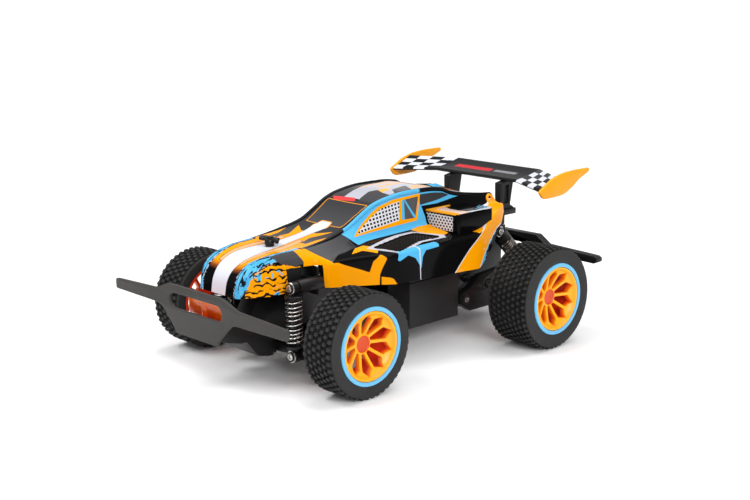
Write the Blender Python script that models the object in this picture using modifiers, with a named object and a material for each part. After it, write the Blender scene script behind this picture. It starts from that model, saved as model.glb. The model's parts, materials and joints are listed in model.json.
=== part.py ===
"""A 1:20 radio-controlled off-road buggy, built as its separate pieces.

The car faces -Y, +Z is up and +X is its left side. The scene's origin is on the ground,
under the middle of the car's length. Lengths below are in millimetres, and y is counted
from midway between the axles; shapes are built in metres, under an empty that carries
them to their place.
"""

import math

import bmesh
import bpy
from mathutils import Matrix, Vector

MM = 0.001
GAP = 0.3  # air between two pieces that touch
SEGMENTS = 20  # sides of a wheel; a multiple of 4, so that one corner points straight down

MIDDLE_Y = 3.3  # middle of the car's length, from midway between the axles

# Axles and wheels
AXLE_Y = 60.25  # front axle at -AXLE_Y, rear axle at +AXLE_Y
FRONT_RADIUS, FRONT_WIDTH, FRONT_FACE_X = 25.0, 19.7, 67.3
REAR_RADIUS, REAR_WIDTH, REAR_FACE_X = 26.2, 25.6, 78.1
RIM_RADIUS, HUB_RADIUS, SPOKES = 18.2, 4.2, 10
STUB_RADIUS, AXLE_RADIUS, BORE_PLAY = 1.9, 1.9, 0.4

# Front suspension and steering
ARM_PIVOT = (9.0, 15.0)  # x, z of the pin that a front arm swings on
KINGPIN_X = 42.0
KINGPIN_RADIUS, PIN_PLAY = 1.3, 0.45
STEER_PIN_Y = -48.0  # where the steering link picks up both knuckles
LINK_Z = (19.0, 21.0)
HORN_Y = -36.0
FRONT_SHOCK_X, FRONT_SHOCK_Y = 27.0, -71.5
FRONT_SHOCK_TOP, FRONT_SHOCK_FOOT = 47.0, 14.3

# Rear swing unit
SWING_Y, SWING_Z = 42.0, 20.6
REAR_SHOCK_X = 34.0
REAR_SHOCK_TOP = (63.7, 54.3)  # y, z
REAR_SHOCK_FOOT = (82.4, 36.3)
AXLE_GEAR_TEETH, IDLER_SMALL_TEETH, DRIVE_MODULE = 20, 10, 0.8
IDLER_BIG_TEETH, PINION_TEETH, MOTOR_MODULE = 24, 8, 0.6
MOTOR_DISTANCE = 21.0  # from the axle to the motor shaft
MOTOR_RISE = 11.0  # degrees that the motor shaft sits above the axle's level
MOTOR_RADIUS = 10.0

# Chassis
TUB_X, TUB_FRONT, TUB_REAR, TUB_Z = 30.0, 2.0, 38.0, (12.6, 36.0)
TRAY_X, TRAY_FRONT, TRAY_TOP = 16.0, -44.0, 21.0
WALL = 1.6
BUMPER_Y = 108.0

# Wing and body
BODY_WALL = 1.2
WING_THICKNESS = 1.6


# ---------------------------------------------------------------- tools

def clear_scene():
    for obj in list(bpy.data.objects):
        bpy.data.objects.remove(obj, do_unlink=True)


def collection(name):
    made = bpy.data.collections.new(name)
    bpy.context.scene.collection.children.link(made)
    return made


def material(name, colour, roughness, metallic=0.0):
    made = bpy.data.materials.new(name)
    made.use_nodes = True
    shader = made.node_tree.nodes["Principled BSDF"]
    shader.inputs["Base Color"].default_value = (*colour, 1.0)
    shader.inputs["Roughness"].default_value = roughness
    shader.inputs["Metallic"].default_value = metallic
    made.diffuse_color = (*colour, 1.0)
    return made


def point(x, y, z):
    return Vector((x, y, z)) * MM


def mesh_from(bm, name="shape"):
    bmesh.ops.recalc_face_normals(bm, faces=bm.faces)
    mesh = bpy.data.meshes.new(name)
    bm.to_mesh(mesh)
    bm.free()
    return mesh


def evaluated_mesh(obj):
    """The object's mesh with its modifiers applied, in world space; the object goes."""
    graph = bpy.context.evaluated_depsgraph_get()
    mesh = bpy.data.meshes.new_from_object(obj.evaluated_get(graph))
    mesh.transform(obj.matrix_world)
    bpy.data.objects.remove(obj, do_unlink=True)
    bm = bmesh.new()
    bm.from_mesh(mesh)
    bmesh.ops.remove_doubles(bm, verts=bm.verts, dist=0.00001)
    return mesh_from(bm)


def temporary(data):
    obj = bpy.data.objects.new("temporary", data)
    bpy.context.scene.collection.objects.link(obj)
    return obj


def box(x, y, z):
    """A block between the two values of each pair."""
    bm = bmesh.new()
    size = [abs(pair[1] - pair[0]) * MM for pair in (x, y, z)]
    centre = [(pair[0] + pair[1]) / 2 * MM for pair in (x, y, z)]
    place = Matrix.Translation(centre) @ Matrix.Diagonal((*size, 1.0))
    bmesh.ops.create_cube(bm, size=1.0, matrix=place)
    return mesh_from(bm)


def rod(start, end, radius, sides=12, end_radius=None):
    """A cylinder or cone from one point to another."""
    a = point(*start)
    b = point(*end)
    axis = b - a
    turn = axis.to_track_quat("Z", "Y").to_matrix().to_4x4()
    bm = bmesh.new()
    bmesh.ops.create_cone(
        bm,
        cap_ends=True,
        segments=sides,
        radius1=radius * MM,
        radius2=(radius if end_radius is None else end_radius) * MM,
        depth=axis.length,
        matrix=Matrix.Translation((a + b) / 2) @ turn,
    )
    return mesh_from(bm)


PLANES = {  # the world directions of an outline's two coordinates and of its thickness
    "XY": ((1, 0, 0), (0, 1, 0), (0, 0, 1)),
    "XZ": ((1, 0, 0), (0, 0, 1), (0, 1, 0)),
    "YZ": ((0, 1, 0), (0, 0, 1), (1, 0, 0)),
}


def plate(outline, plane, between, holes=()):
    """A flat outline given thickness: a filled 2D curve, extruded."""
    curve = bpy.data.curves.new("outline", "CURVE")
    curve.dimensions = "2D"
    curve.fill_mode = "BOTH"
    curve.extrude = abs(between[1] - between[0]) / 2 * MM
    for loop in (outline, *holes):
        spline = curve.splines.new("POLY")
        spline.points.add(len(loop) - 1)
        spline.use_cyclic_u = True
        for place, (u, v) in zip(spline.points, loop):
            place.co = (u * MM, v * MM, 0, 1)
    across, up, through = (Vector(axis) for axis in PLANES[plane])
    middle = through * (between[0] + between[1]) / 2 * MM
    frame = Matrix((across, up, through)).transposed().to_4x4()
    obj = temporary(curve)
    obj.matrix_world = Matrix.Translation(middle) @ frame
    bpy.context.view_layer.update()
    return evaluated_mesh(obj)


def circle(u, v, radius, sides=12):
    turn = [2 * math.pi * k / sides for k in range(sides)]
    return [(u + radius * math.cos(a), v + radius * math.sin(a)) for a in turn]


def arc(u, v, radius, first, last, steps=5):
    """Points on an arc, its angles in degrees."""
    turn = [math.radians(first + (last - first) * k / steps) for k in range(steps + 1)]
    return [(u + radius * math.cos(a), v + radius * math.sin(a)) for a in turn]


def turned(profile, centre, sides=SEGMENTS, towards=1):
    """A closed (radius, distance) profile turned about an X axis through centre."""
    bm = bmesh.new()
    corners = [bm.verts.new((d * towards * MM, 0, r * MM)) for r, d in profile]
    for first, second in zip(corners, corners[1:] + corners[:1]):
        if first.co.z > 0 or second.co.z > 0:
            bm.edges.new((first, second))
    mesh = bpy.data.meshes.new("profile")
    bm.to_mesh(mesh)
    bm.free()
    obj = temporary(mesh)
    screw = obj.modifiers.new("turn", "SCREW")
    screw.axis = "X"
    screw.steps = sides
    screw.render_steps = sides
    screw.use_merge_vertices = True
    screw.merge_threshold = 0.00001
    obj.location = point(*centre)
    bpy.context.view_layer.update()
    return evaluated_mesh(obj)


def tube(places, radius, resolution=2, cyclic=False):
    """A round wire through the points."""
    curve = bpy.data.curves.new("wire", "CURVE")
    curve.dimensions = "3D"
    curve.bevel_depth = radius * MM
    curve.bevel_resolution = resolution
    curve.use_fill_caps = True
    spline = curve.splines.new("POLY")
    spline.points.add(len(places) - 1)
    spline.use_cyclic_u = cyclic
    for place, (x, y, z) in zip(spline.points, places):
        place.co = (x * MM, y * MM, z * MM, 1)
    return evaluated_mesh(temporary(curve))


def mirrored(mesh):
    """The same shape on the other side of the car."""
    copy = mesh.copy()
    copy.transform(Matrix.Diagonal((-1, 1, 1, 1)))
    copy.flip_normals()
    return copy


def loft(rows, wall):
    """A shell over a grid of points, one row after another along the car."""
    bm = bmesh.new()
    grid = [[bm.verts.new(point(*place)) for place in row] for row in rows]
    for near, far in zip(grid, grid[1:]):
        for k in range(len(near) - 1):
            bm.faces.new((near[k], near[k + 1], far[k + 1], far[k]))
    obj = temporary(mesh_from(bm))
    thick = obj.modifiers.new("wall", "SOLIDIFY")
    thick.thickness = wall * MM
    thick.offset = -1
    bpy.context.view_layer.update()
    return evaluated_mesh(obj)


class Car:
    """Collects the nodes, each an object with its own material and Boolean operands."""

    def __init__(self):
        self.nodes = collection("remote_control_car")
        self.helpers = collection("remote_control_car_cutters")
        self.helpers.hide_render = True
        self.root = bpy.data.objects.new("car_origin", None)
        self.root.location = point(0, -MIDDLE_Y, 0)
        self.nodes.objects.link(self.root)

    def helper(self, name, mesh):
        obj = bpy.data.objects.new(name, mesh)
        obj.hide_render = True
        obj.display_type = "WIRE"
        obj.parent = self.root
        self.helpers.objects.link(obj)
        return obj

    def add(self, name, mesh, paint, origin=(0, 0, 0), join=(), cut=()):
        """Adds a node: its base mesh, what is joined to it and what is cut from it."""
        obj = bpy.data.objects.new(name, mesh)
        obj.parent = self.root
        self.nodes.objects.link(obj)
        steps = [("UNION", other) for other in join] + [("DIFFERENCE", other) for other in cut]
        for number, (operation, other) in enumerate(steps):
            modifier = obj.modifiers.new(f"{operation.lower()}_{number}", "BOOLEAN")
            modifier.operation = operation
            modifier.solver = "EXACT"
            modifier.object = self.helper(f"{name}_{operation.lower()}_{number}", other)
        if any(origin):
            self.settle(obj, origin)
        obj.data.materials.clear()
        obj.data.materials.append(paint)
        obj.data.shade_smooth()
        obj.data.set_sharp_from_angle(angle=math.radians(35))
        return obj

    def settle(self, obj, origin):
        """Puts the object's origin on its joint's axis, leaving its shape in place."""
        place = point(*origin)
        obj.data.transform(Matrix.Translation(-place))
        obj.location = place


# ---------------------------------------------------------------- wheels

def tyre_mesh(centre, radius, width, towards):
    """A hollow tyre; distances run inwards from its outer face."""
    bead = RIM_RADIUS + 0.5
    shoulder = 0.956 * radius
    profile = [
        (bead, 0.4),
        (shoulder, 0.0),
        (radius, 1.8),
        (radius, width - 1.8),
        (shoulder, width),
        (bead, width - 0.4),
        (bead, width - 2.4),
        (radius - 3.2, width - 3.2),
        (radius - 3.2, 3.2),
        (bead, 2.4),
    ]
    return turned(profile, centre, towards=-towards)


def rim_mesh(centre, width, towards):
    """A dished rim with a blind bore for its axle, open at the inner side."""
    bore = STUB_RADIUS + BORE_PLAY
    profile = [
        (0.0, 6.0),
        (HUB_RADIUS, 6.0),
        (14.2, 1.8),
        (14.4, 0.4),
        (16.2, 0.4),
        (16.2, 1.6),
        (RIM_RADIUS, 1.6),
        (RIM_RADIUS, width - 0.8),
        (16.6, width - 0.8),
        (16.6, 4.4),
        (14.4, 4.6),
        (HUB_RADIUS, 9.0),
        (HUB_RADIUS, width - 2.0),
        (bore, width - 2.0),
        (bore, 9.6),
        (0.0, 9.6),
    ]
    return turned(profile, centre, towards=-towards)


def rim_windows(centre, towards):
    """The openings between the spokes."""
    shape = [(5.6, -0.6), (5.6, 0.6), (11.4, 2.7), (13.6, 1.6), (13.6, -1.6), (11.4, -2.7)]
    made = []
    x, y, z = centre
    for spoke in range(SPOKES):
        angle = 2 * math.pi * (spoke + 0.5) / SPOKES
        c, s = math.cos(angle), math.sin(angle)
        outline = [(y + r * c - t * s, z + r * s + t * c) for r, t in shape]
        made.append(plate(outline, "YZ", sorted((x + towards, x - 11 * towards))))
    return made


def bead_ring_mesh(centre, towards):
    profile = [(16.5, 0.0), (18.4, 0.0), (18.4, 1.3), (16.5, 1.3)]
    return turned(profile, centre, towards=-towards)


def add_wheel(car, side_name, end, face_x, radius, width, towards, origin):
    """One tyre, its rim and its bead ring, on the side that towards points to."""
    y = -AXLE_Y if end == "front" else AXLE_Y
    centre = (face_x * towards, y, radius)
    tag = f"{end}_{side_name}"
    car.add(f"tyre_{tag}", tyre_mesh(centre, radius, width, towards), RUBBER, origin)
    car.add(
        f"rim_{tag}",
        rim_mesh(centre, width, towards),
        ORANGE,
        origin,
        cut=rim_windows(centre, towards),
    )
    car.add(f"bead_ring_{tag}", bead_ring_mesh(centre, towards), SKY, origin)


# ---------------------------------------------------------------- gears

def gear_outline(y, z, teeth, module, phase=0.0):
    """A straight-sided tooth form with play; phase is in tooth pitches."""
    pitch_radius = teeth * module / 2
    root, tip = pitch_radius - 1.15 * module, pitch_radius + 0.8 * module
    corners = ((root, -0.27), (tip, -0.12), (tip, 0.12), (root, 0.27))
    outline = []
    for tooth in range(teeth):
        for radius, share in corners:
            angle = 2 * math.pi * (tooth + phase + share) / teeth
            outline.append((y + radius * math.cos(angle), z + radius * math.sin(angle)))
    return outline


def gear_places():
    """Centres of the axle gear, the idler and the motor shaft in the YZ plane."""
    axle = Vector((AXLE_Y, REAR_RADIUS))
    rise = math.radians(MOTOR_RISE)
    motor = axle + MOTOR_DISTANCE * Vector((math.cos(rise), math.sin(rise)))
    to_idler = (AXLE_GEAR_TEETH + IDLER_SMALL_TEETH) * DRIVE_MODULE / 2
    from_idler = (IDLER_BIG_TEETH + PINION_TEETH) * MOTOR_MODULE / 2
    along = (to_idler**2 - from_idler**2 + MOTOR_DISTANCE**2) / (2 * MOTOR_DISTANCE)
    off = math.sqrt(to_idler**2 - along**2)
    line = (motor - axle).normalized()
    idler = axle + along * line + off * Vector((-line.y, line.x))
    return axle, idler, motor


def meshing_phase(driver, driver_teeth, driver_phase, driven, driven_teeth):
    """The phase that puts a tooth space of the driven gear on the driver's tooth."""
    line = driven - driver
    angle = math.atan2(line.y, line.x)
    tooth = angle / (2 * math.pi) * driver_teeth - driver_phase
    back = (angle + math.pi) / (2 * math.pi) * driven_teeth
    return back + tooth + 0.5


# ---------------------------------------------------------------- shocks and springs

class Strut:
    """Places along the line between a shock's two eyes, with the eyes' own direction."""

    def __init__(self, top, foot, eye):
        self.top = Vector(top)
        self.length = (Vector(foot) - self.top).length
        self.along = (Vector(foot) - self.top).normalized()
        self.eye = Vector(eye)
        self.side = self.along.cross(self.eye)

    def at(self, distance):
        return self.top + self.along * distance

    def rod(self, first, last, radius, sides=12):
        return rod(self.at(first), self.at(last), radius, sides)

    def eye_rod(self, distance, reach, radius, sides=12):
        middle = self.at(distance)
        return rod(middle - self.eye * reach, middle + self.eye * reach, radius, sides)

    def coil(self, first, last, radius, turns, steps=7):
        """Points of a helix round the shock."""
        count = turns * steps
        places = []
        for k in range(count + 1):
            angle = 2 * math.pi * k / steps
            ring = self.eye * math.cos(angle) + self.side * math.sin(angle)
            places.append(self.at(first + (last - first) * k / count) + ring * radius)
        return places


EYE_RADIUS, EYE_HALF, EYE_HOLE = 3.0, 1.6, 1.5
CAP_RADIUS, BARREL_RADIUS, BARREL_BORE, ROD_RADIUS = 4.3, 2.6, 1.5, 1.05
CAP_FROM, CAP_TO, CUP_FROM_FOOT = 3.6, 6.6, 5.3
NECK_RADIUS = 1.5
SPRING_RADIUS, SPRING_WIRE = 3.45, 0.42


def add_shock(car, tag, strut, barrel_end, rod_top, turns, body_origin, rod_origin):
    """A shock's body, its rod and its spring."""
    foot = strut.length
    car.add(
        f"shock_body_{tag}",
        strut.rod(CAP_FROM, CAP_TO, CAP_RADIUS, 16),
        BLACK,
        body_origin,
        join=[
            strut.eye_rod(0, EYE_HALF, EYE_RADIUS),
            strut.rod(CAP_FROM + 1, barrel_end, BARREL_RADIUS),
            strut.rod(1.8, CAP_FROM + 1, NECK_RADIUS),
        ],
        cut=[
            strut.eye_rod(0, EYE_HALF + 1, EYE_HOLE),
            strut.rod(CAP_TO + 0.6, barrel_end + 1, BARREL_BORE),
        ],
    )
    car.add(
        f"shock_rod_{tag}",
        strut.rod(foot - CUP_FROM_FOOT, foot - CUP_FROM_FOOT + 1.4, CAP_RADIUS, 16),
        BLACK,
        rod_origin,
        join=[
            strut.eye_rod(foot, EYE_HALF, EYE_RADIUS),
            strut.rod(rod_top, foot - CUP_FROM_FOOT + 0.5, ROD_RADIUS),
            strut.rod(foot - CUP_FROM_FOOT + 1, foot - 1.8, NECK_RADIUS),
        ],
        cut=[strut.eye_rod(foot, EYE_HALF + 1, EYE_HOLE)],
    )
    ends = (CAP_TO + SPRING_WIRE + GAP, foot - CUP_FROM_FOOT - SPRING_WIRE - GAP)
    wire = tube(strut.coil(*ends, SPRING_RADIUS, turns), SPRING_WIRE, resolution=1)
    car.add(f"spring_{tag}", wire, STEEL, rod_origin)


def screw_pin(start, end, radius=1.0, head=2.4, head_height=1.0):
    """A screw shank from start to end, and the head beyond its end."""
    a, b = Vector(start), Vector(end)
    outward = (b - a).normalized()
    return [rod(a, b + outward * 0.2, radius, 8), rod(b, b + outward * head_height, head, 12)]


# ---------------------------------------------------------------- front suspension

def add_front_suspension(car, side_name, towards):
    """Arm, knuckle and shock of one side; built on the left and mirrored."""

    def sided(mesh):
        return mesh if towards > 0 else mirrored(mesh)

    axle = -AXLE_Y
    pivot_x, pivot_z = ARM_PIVOT
    outline = [
        (pivot_x - 1, axle - 9.2),
        (pivot_x + 3, axle - 9.2),
        (30, axle - 6.8),
        (37, axle - 4.8),
        (46, axle - 3.8),
        (46, axle + 3.8),
        (37, axle + 4.8),
        (30, axle + 6.2),
        (pivot_x + 3, axle + 9.2),
        (pivot_x - 1, axle + 9.2),
    ]
    foot = (FRONT_SHOCK_X, FRONT_SHOCK_Y, FRONT_SHOCK_FOOT)
    lug_front = FRONT_SHOCK_Y + EYE_HALF + 0.4
    head_y = FRONT_SHOCK_Y - EYE_HALF - 0.4
    arm_join = [
        rod((pivot_x, axle - 9.2, pivot_z), (pivot_x, axle + 9.2, pivot_z), 2.6),
        box((33.5, 37.4), (axle - 4.6, axle + 4.6), (15, 34)),
        box((33.5, 46), (axle - 3.8, axle + 3.8), (31, 34)),
        box((24, 30), (lug_front, axle - 5), (12.2, 16.8)),
        *screw_pin((foot[0], lug_front + 1, foot[2]), (foot[0], head_y, foot[2])),
    ]
    arm_cut = [
        rod((pivot_x, -80, pivot_z), (pivot_x, -40, pivot_z), 1.65),
        rod((KINGPIN_X, axle, 10), (KINGPIN_X, axle, 40), KINGPIN_RADIUS + PIN_PLAY),
        plate([(15, axle - 4), (27, axle - 3), (27, axle + 3), (15, axle + 4)], "XY", (10, 20)),
    ]
    car.add(
        f"front_arm_{side_name}",
        sided(plate(outline, "XY", (13, 17))),
        BLACK,
        (pivot_x * towards, axle, pivot_z),
        join=[sided(mesh) for mesh in arm_join],
        cut=[sided(mesh) for mesh in arm_cut],
    )

    stub_end = FRONT_FACE_X - 9.6 - 0.4
    steer_z = LINK_Z[1] + 1.0
    knuckle_join = [
        rod((KINGPIN_X, axle, 13.5), (KINGPIN_X, axle, 33.6), KINGPIN_RADIUS),
        rod((KINGPIN_X, axle, FRONT_RADIUS), (stub_end, axle, FRONT_RADIUS), STUB_RADIUS),
        rod((KINGPIN_X, axle, FRONT_RADIUS), (49.1, axle, FRONT_RADIUS), 3.2),
        box((KINGPIN_X - 2, KINGPIN_X + 2), (axle, STEER_PIN_Y + 1.6), (steer_z, steer_z + 2.5)),
        rod((KINGPIN_X, STEER_PIN_Y, 14.8), (KINGPIN_X, STEER_PIN_Y, steer_z + 1), 1.0),
    ]
    car.add(
        f"knuckle_{side_name}",
        sided(rod((KINGPIN_X, axle, 17.5), (KINGPIN_X, axle, 30.5), 4.0)),
        BLACK,
        (KINGPIN_X * towards, axle, FRONT_RADIUS),
        join=[sided(mesh) for mesh in knuckle_join],
    )

    x = FRONT_SHOCK_X * towards
    top = (x, FRONT_SHOCK_Y, FRONT_SHOCK_TOP)
    strut = Strut(top, (x, FRONT_SHOCK_Y, FRONT_SHOCK_FOOT), (0, 1, 0))
    tag = f"front_{side_name}"
    add_shock(car, tag, strut, 21.0, 11.0, 6, (0, 0, 0), (x, FRONT_SHOCK_Y, FRONT_SHOCK_FOOT))
    wheel_origin = (KINGPIN_X * towards, axle, FRONT_RADIUS)
    add_wheel(car, side_name, "front", FRONT_FACE_X, FRONT_RADIUS, FRONT_WIDTH, towards, wheel_origin)


def add_steering(car):
    link_y = (STEER_PIN_Y - 3.8, STEER_PIN_Y + 2.8)
    slots = [(x, STEER_PIN_Y - 0.35) for x in (-KINGPIN_X, KINGPIN_X)]
    holes = [
        box((x - 1.7, x + 1.7), (y - 1.95, y + 1.95), (15, 25))
        for x, y in slots + [(0, STEER_PIN_Y + 0.35)]
    ]
    end = KINGPIN_X + 2.9
    outline = [
        (-end, link_y[0]),
        (-end + 5.8, link_y[0]),
        (-end + 8, STEER_PIN_Y - 1),
        (-6, STEER_PIN_Y - 1),
        (-4, STEER_PIN_Y - 2.6),
        (4, STEER_PIN_Y - 2.6),
        (6, STEER_PIN_Y - 1),
        (end - 8, STEER_PIN_Y - 1),
        (end - 5.8, link_y[0]),
        (end, link_y[0]),
        (end, link_y[1]),
        (-end, link_y[1]),
    ]
    car.add("steering_link", plate(outline, "XY", LINK_Z), BLACK, (0, STEER_PIN_Y, 20), cut=holes)
    horn_z = (LINK_Z[1] + 0.8, LINK_Z[1] + 3.0)
    car.add(
        "servo_horn",
        rod((0, HORN_Y, horn_z[0]), (0, HORN_Y, horn_z[1]), 4.0, 16),
        WHITE,
        (0, HORN_Y, horn_z[0]),
        join=[
            box((-2, 2), (STEER_PIN_Y - 1.6, HORN_Y), horn_z),
            rod((0, STEER_PIN_Y, 18.4), (0, STEER_PIN_Y, horn_z[0] + 1), 1.0),
        ],
    )
    car.add(
        "steering_servo",
        box((-12, 12), (-42, -22), (14.5, 21.2)),
        GREY,
        join=[box((-14, 14), (-34, -30), (18.6, 20.6))],
    )


# ---------------------------------------------------------------- chassis

def add_chassis(car):
    floor_top = TUB_Z[0] + WALL
    inner = TUB_X - WALL
    pivot_lugs = []
    for side in (-1, 1):
        lug = box(sorted((22 * side, 26.6 * side)), (TUB_REAR - 1, SWING_Y + 3), (16.5, 25))
        pin = screw_pin((25 * side, SWING_Y, SWING_Z), (31.6 * side, SWING_Y, SWING_Z), 1.2, 2.5, 0.9)
        pivot_lugs += [lug, *pin]
    car.add(
        "chassis_tub",
        box((-TUB_X, TUB_X), (TUB_FRONT, TUB_REAR), TUB_Z),
        CHARCOAL,
        join=[box((-TRAY_X, TRAY_X), (TRAY_FRONT, TUB_FRONT + 1), (TUB_Z[0], TRAY_TOP)), *pivot_lugs],
        cut=[
            box((-inner, inner), (TUB_FRONT + WALL, TUB_REAR - WALL), (floor_top, 50)),
            box(
                (-TRAY_X + WALL, TRAY_X - WALL),
                (TRAY_FRONT + WALL, TUB_FRONT + WALL + 1),
                (floor_top, 34),
            ),
            box((-23, 23), (5.5, 34), (10, 20)),
            box((-2.4, 2.4), (-14.2, -6.8), (10, 20)),
        ],
    )
    car.add(
        "chassis_cover",
        plate(
            [(-TUB_X, TUB_FRONT), (TUB_X, TUB_FRONT), (TUB_X, TUB_REAR), (-TUB_X, TUB_REAR)],
            "XY",
            (TUB_Z[1] + GAP, TUB_Z[1] + GAP + 1.8),
        ),
        CHARCOAL,
        join=[box((-8, 8), (8, 26), (37, 39.8))],
    )
    car.add(
        "battery_door",
        box((-22.6, 22.6), (5.9, 33.6), (TUB_Z[0], TUB_Z[0] + 1.5)),
        CHARCOAL,
        cut=[rod((0, 30.5, 10), (0, 30.5, 20), 2.3)],
    )
    car.add(
        "battery_door_screw",
        rod((0, 30.5, 12.8), (0, 30.5, 14.2), 1.9),
        STEEL,
        join=[rod((0, 30.5, 14), (0, 30.5, 20), 1.0, 8)],
    )
    car.add(
        "battery_pack",
        rod((-24, 10.6, 22.4), (24, 10.6, 22.4), 7.0, 16),
        BLUE,
        join=[
            rod((-24, 21, 22.4), (24, 21, 22.4), 7.0, 16),
            box((-23.5, 23.5), (10, 21.5), (16, 28.8)),
        ],
    )
    car.add(
        "circuit_board",
        box((-13, 13), (-19, 1), (15.4, 17)),
        GREEN,
        join=[
            box((-5, 5), (-13, -4), (16.8, 18.6)),
            rod((9, -9, 16.5), (9, -9, 23), 2.6, 10),
            box((-11, -7), (-16, -2), (16.8, 20)),
        ],
    )
    car.add(
        "power_switch",
        box((-2, 2), (-13.8, -10.2), (11.2, 14.9)),
        BLACK,
        (0, -12, 12),
    )


def add_front_end(car):
    pivot_x, pivot_z = ARM_PIVOT
    nose = [
        (-103.4, 24.5),
        (-92, 21.6),
        (-88.5, 21.6),
        (-82, 13.6),
        (-76, 12.0),
        (-72.8, 12.0),
        (-72.8, 22),
        (-80, 31),
        (-103.4, 31),
    ]
    spine = [
        (-74, 12.6),
        (-44.4, 12.6),
        (-44.4, 17.8),
        (-53, 17.8),
        (-53, 36),
        (-57, 41),
        (-74, 41),
        (-80, 31),
        (-80, 20),
    ]
    join = [plate(nose, "YZ", (-13, 13))]
    axle = -AXLE_Y
    for front, back in ((axle - 12.6, axle - 9.6), (axle + 9.6, axle + 12)):
        join.append(box((-11.6, 11.6), (front, back), (12.4, 17.8)))
    for side in (-1, 1):
        pin_x = pivot_x * side
        join.append(rod((pin_x, axle - 11, pivot_z), (pin_x, axle + 11, pivot_z), 1.2, 8))
    join.append(rod((0, -63, 40), (0, -63, 66), 1.8))
    car.add(
        "front_bulkhead",
        plate(spine, "YZ", (-5.8, 5.8)),
        BLACK,
        join=join,
        cut=[rod((-3, -63, 64.4), (3, -63, 64.4), 0.9, 8)],
    )
    car.add(
        "body_clip",
        tube(
            [(-4.5, -63, 64.4), (4.5, -63, 64.4), (6.2, -61, 64.6), (5.4, -58.6, 64.6), (2, -58.2, 64.6)],
            0.5,
            resolution=1,
        ),
        BLACK,
    )
    boss = 3.3  # radius of the upper shock mounts
    half = [
        (6.2, 41.4),
        (6.2, 37),
        (14, 37),
        (20, 43.9),
        (28.4, 44.3),
        (29.9, 46.2),
        (29.9, 47.9),
        (28.4, 49.8),
        (21.2, 50.1),
        (20.8, 54.2),
        (16.4, 54.3),
        (13, 46),
    ]
    tower = half + [(-x, z) for x, z in reversed(half)]
    cheek_y, cheek_z = (-70.2, -59.4), (42.6, 53.8)
    join = []
    boss_front = FRONT_SHOCK_Y + EYE_HALF + 0.4
    for side in (-1, 1):
        x = FRONT_SHOCK_X * side
        join.append(rod((x, boss_front, FRONT_SHOCK_TOP), (x, -55.2, FRONT_SHOCK_TOP), boss))
        join.append(box(sorted((17.6 * side, 20.6 * side)), cheek_y, cheek_z))
        start = (x, boss_front + 1, FRONT_SHOCK_TOP)
        join += screw_pin(start, (x, FRONT_SHOCK_Y - EYE_HALF - 0.4, FRONT_SHOCK_TOP))
    car.add(
        "front_shock_tower",
        plate(tower, "XZ", (-61.6, -58.4)),
        BLACK,
        join=join,
        cut=[rod((0, -63, 36), (0, -63, 60), 2.4)],
    )


def bumper_half(points):
    return points + [(-x, z) for x, z in reversed(points)]


def add_bumpers(car):
    shield = bumper_half(
        [
            (20.6, 47.4),
            (31.1, 43.5),
            (65.2, 42.1),
            (65.2, 37.0),
            (30, 36.6),
            (26, 35.4),
            (17, 27),
            (15.6, 24.2),
        ]
    )
    half, middle, rise = 16.4, 39.8, 3.7
    slot = arc(half, middle, rise, -90, 90, 6) + arc(-half, middle, rise, 90, 270, 6)
    front = plate(shield, "XZ", (-BUMPER_Y, -BUMPER_Y + 1.8), holes=[slot])
    returns = [
        box(sorted((side * 31.2, side * 60)), (-BUMPER_Y + 0.4, -BUMPER_Y + 6.5), (37.2, 38.8))
        for side in (-1, 1)
    ]
    car.add("front_bumper", front, MATT_GREY, join=returns)
    car.add(
        "bumper_brace",
        box((-13, 13), (-BUMPER_Y + 5.6, -BUMPER_Y + 11), (33.5, 42.6)),
        RED_ORANGE,
        join=[rod((0, -BUMPER_Y + 7, 31.4), (0, -BUMPER_Y + 7, 43.4), 2.4)],
    )
    bar = bumper_half(
        [
            (28.6, 45.4),
            (35.5, 40.8),
            (68, 39.6),
            (70, 38.6),
            (70, 36.6),
            (68, 35.6),
            (33.2, 36.6),
            (26.4, 41.2),
        ]
    )
    strut = [(92.6, 50), (98.6, 50), (103.5, 45.4), (103.5, 41.4), (99, 41.4), (92.6, 46.6)]
    car.add(
        "rear_bumper",
        plate(bar, "XZ", (BUMPER_Y - 5, BUMPER_Y)),
        BLACK,
        join=[plate(strut, "YZ", (-4.4, 4.4))],
    )


def add_rear_frame(car):
    deck = [(-22.4, 57), (22.4, 57), (22.4, 84.2), (6, 86.5), (5, 99), (-5, 99), (-6, 86.5), (-22.4, 84.2)]
    ear = [(56.5, 46.6), (60, 46.6), (61.6, 49.2), (66.6, 54.6), (66.6, 57.4), (61, 57.4), (56.5, 53)]
    y, z = REAR_SHOCK_TOP
    join = [box((-31.9, 31.9), (56.5, 60), (46.6, 52))]
    for side in (-1, 1):
        join.append(box(sorted((18 * side, 24 * side)), (30, 58), (46.6, 50.6)))
        join.append(box(sorted((18 * side, 24 * side)), (30, 37), (38.5, 47)))
        join.append(plate(ear, "YZ", sorted((28 * side, 31.9 * side))))
        eye_x = REAR_SHOCK_X + EYE_HALF + 0.4
        join += screw_pin((30 * side, y, z), (eye_x * side, y, z))
    car.add("rear_frame", plate(deck, "XY", (50.3, 53.2)), BLACK, join=join)


# ---------------------------------------------------------------- rear swing unit

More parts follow.
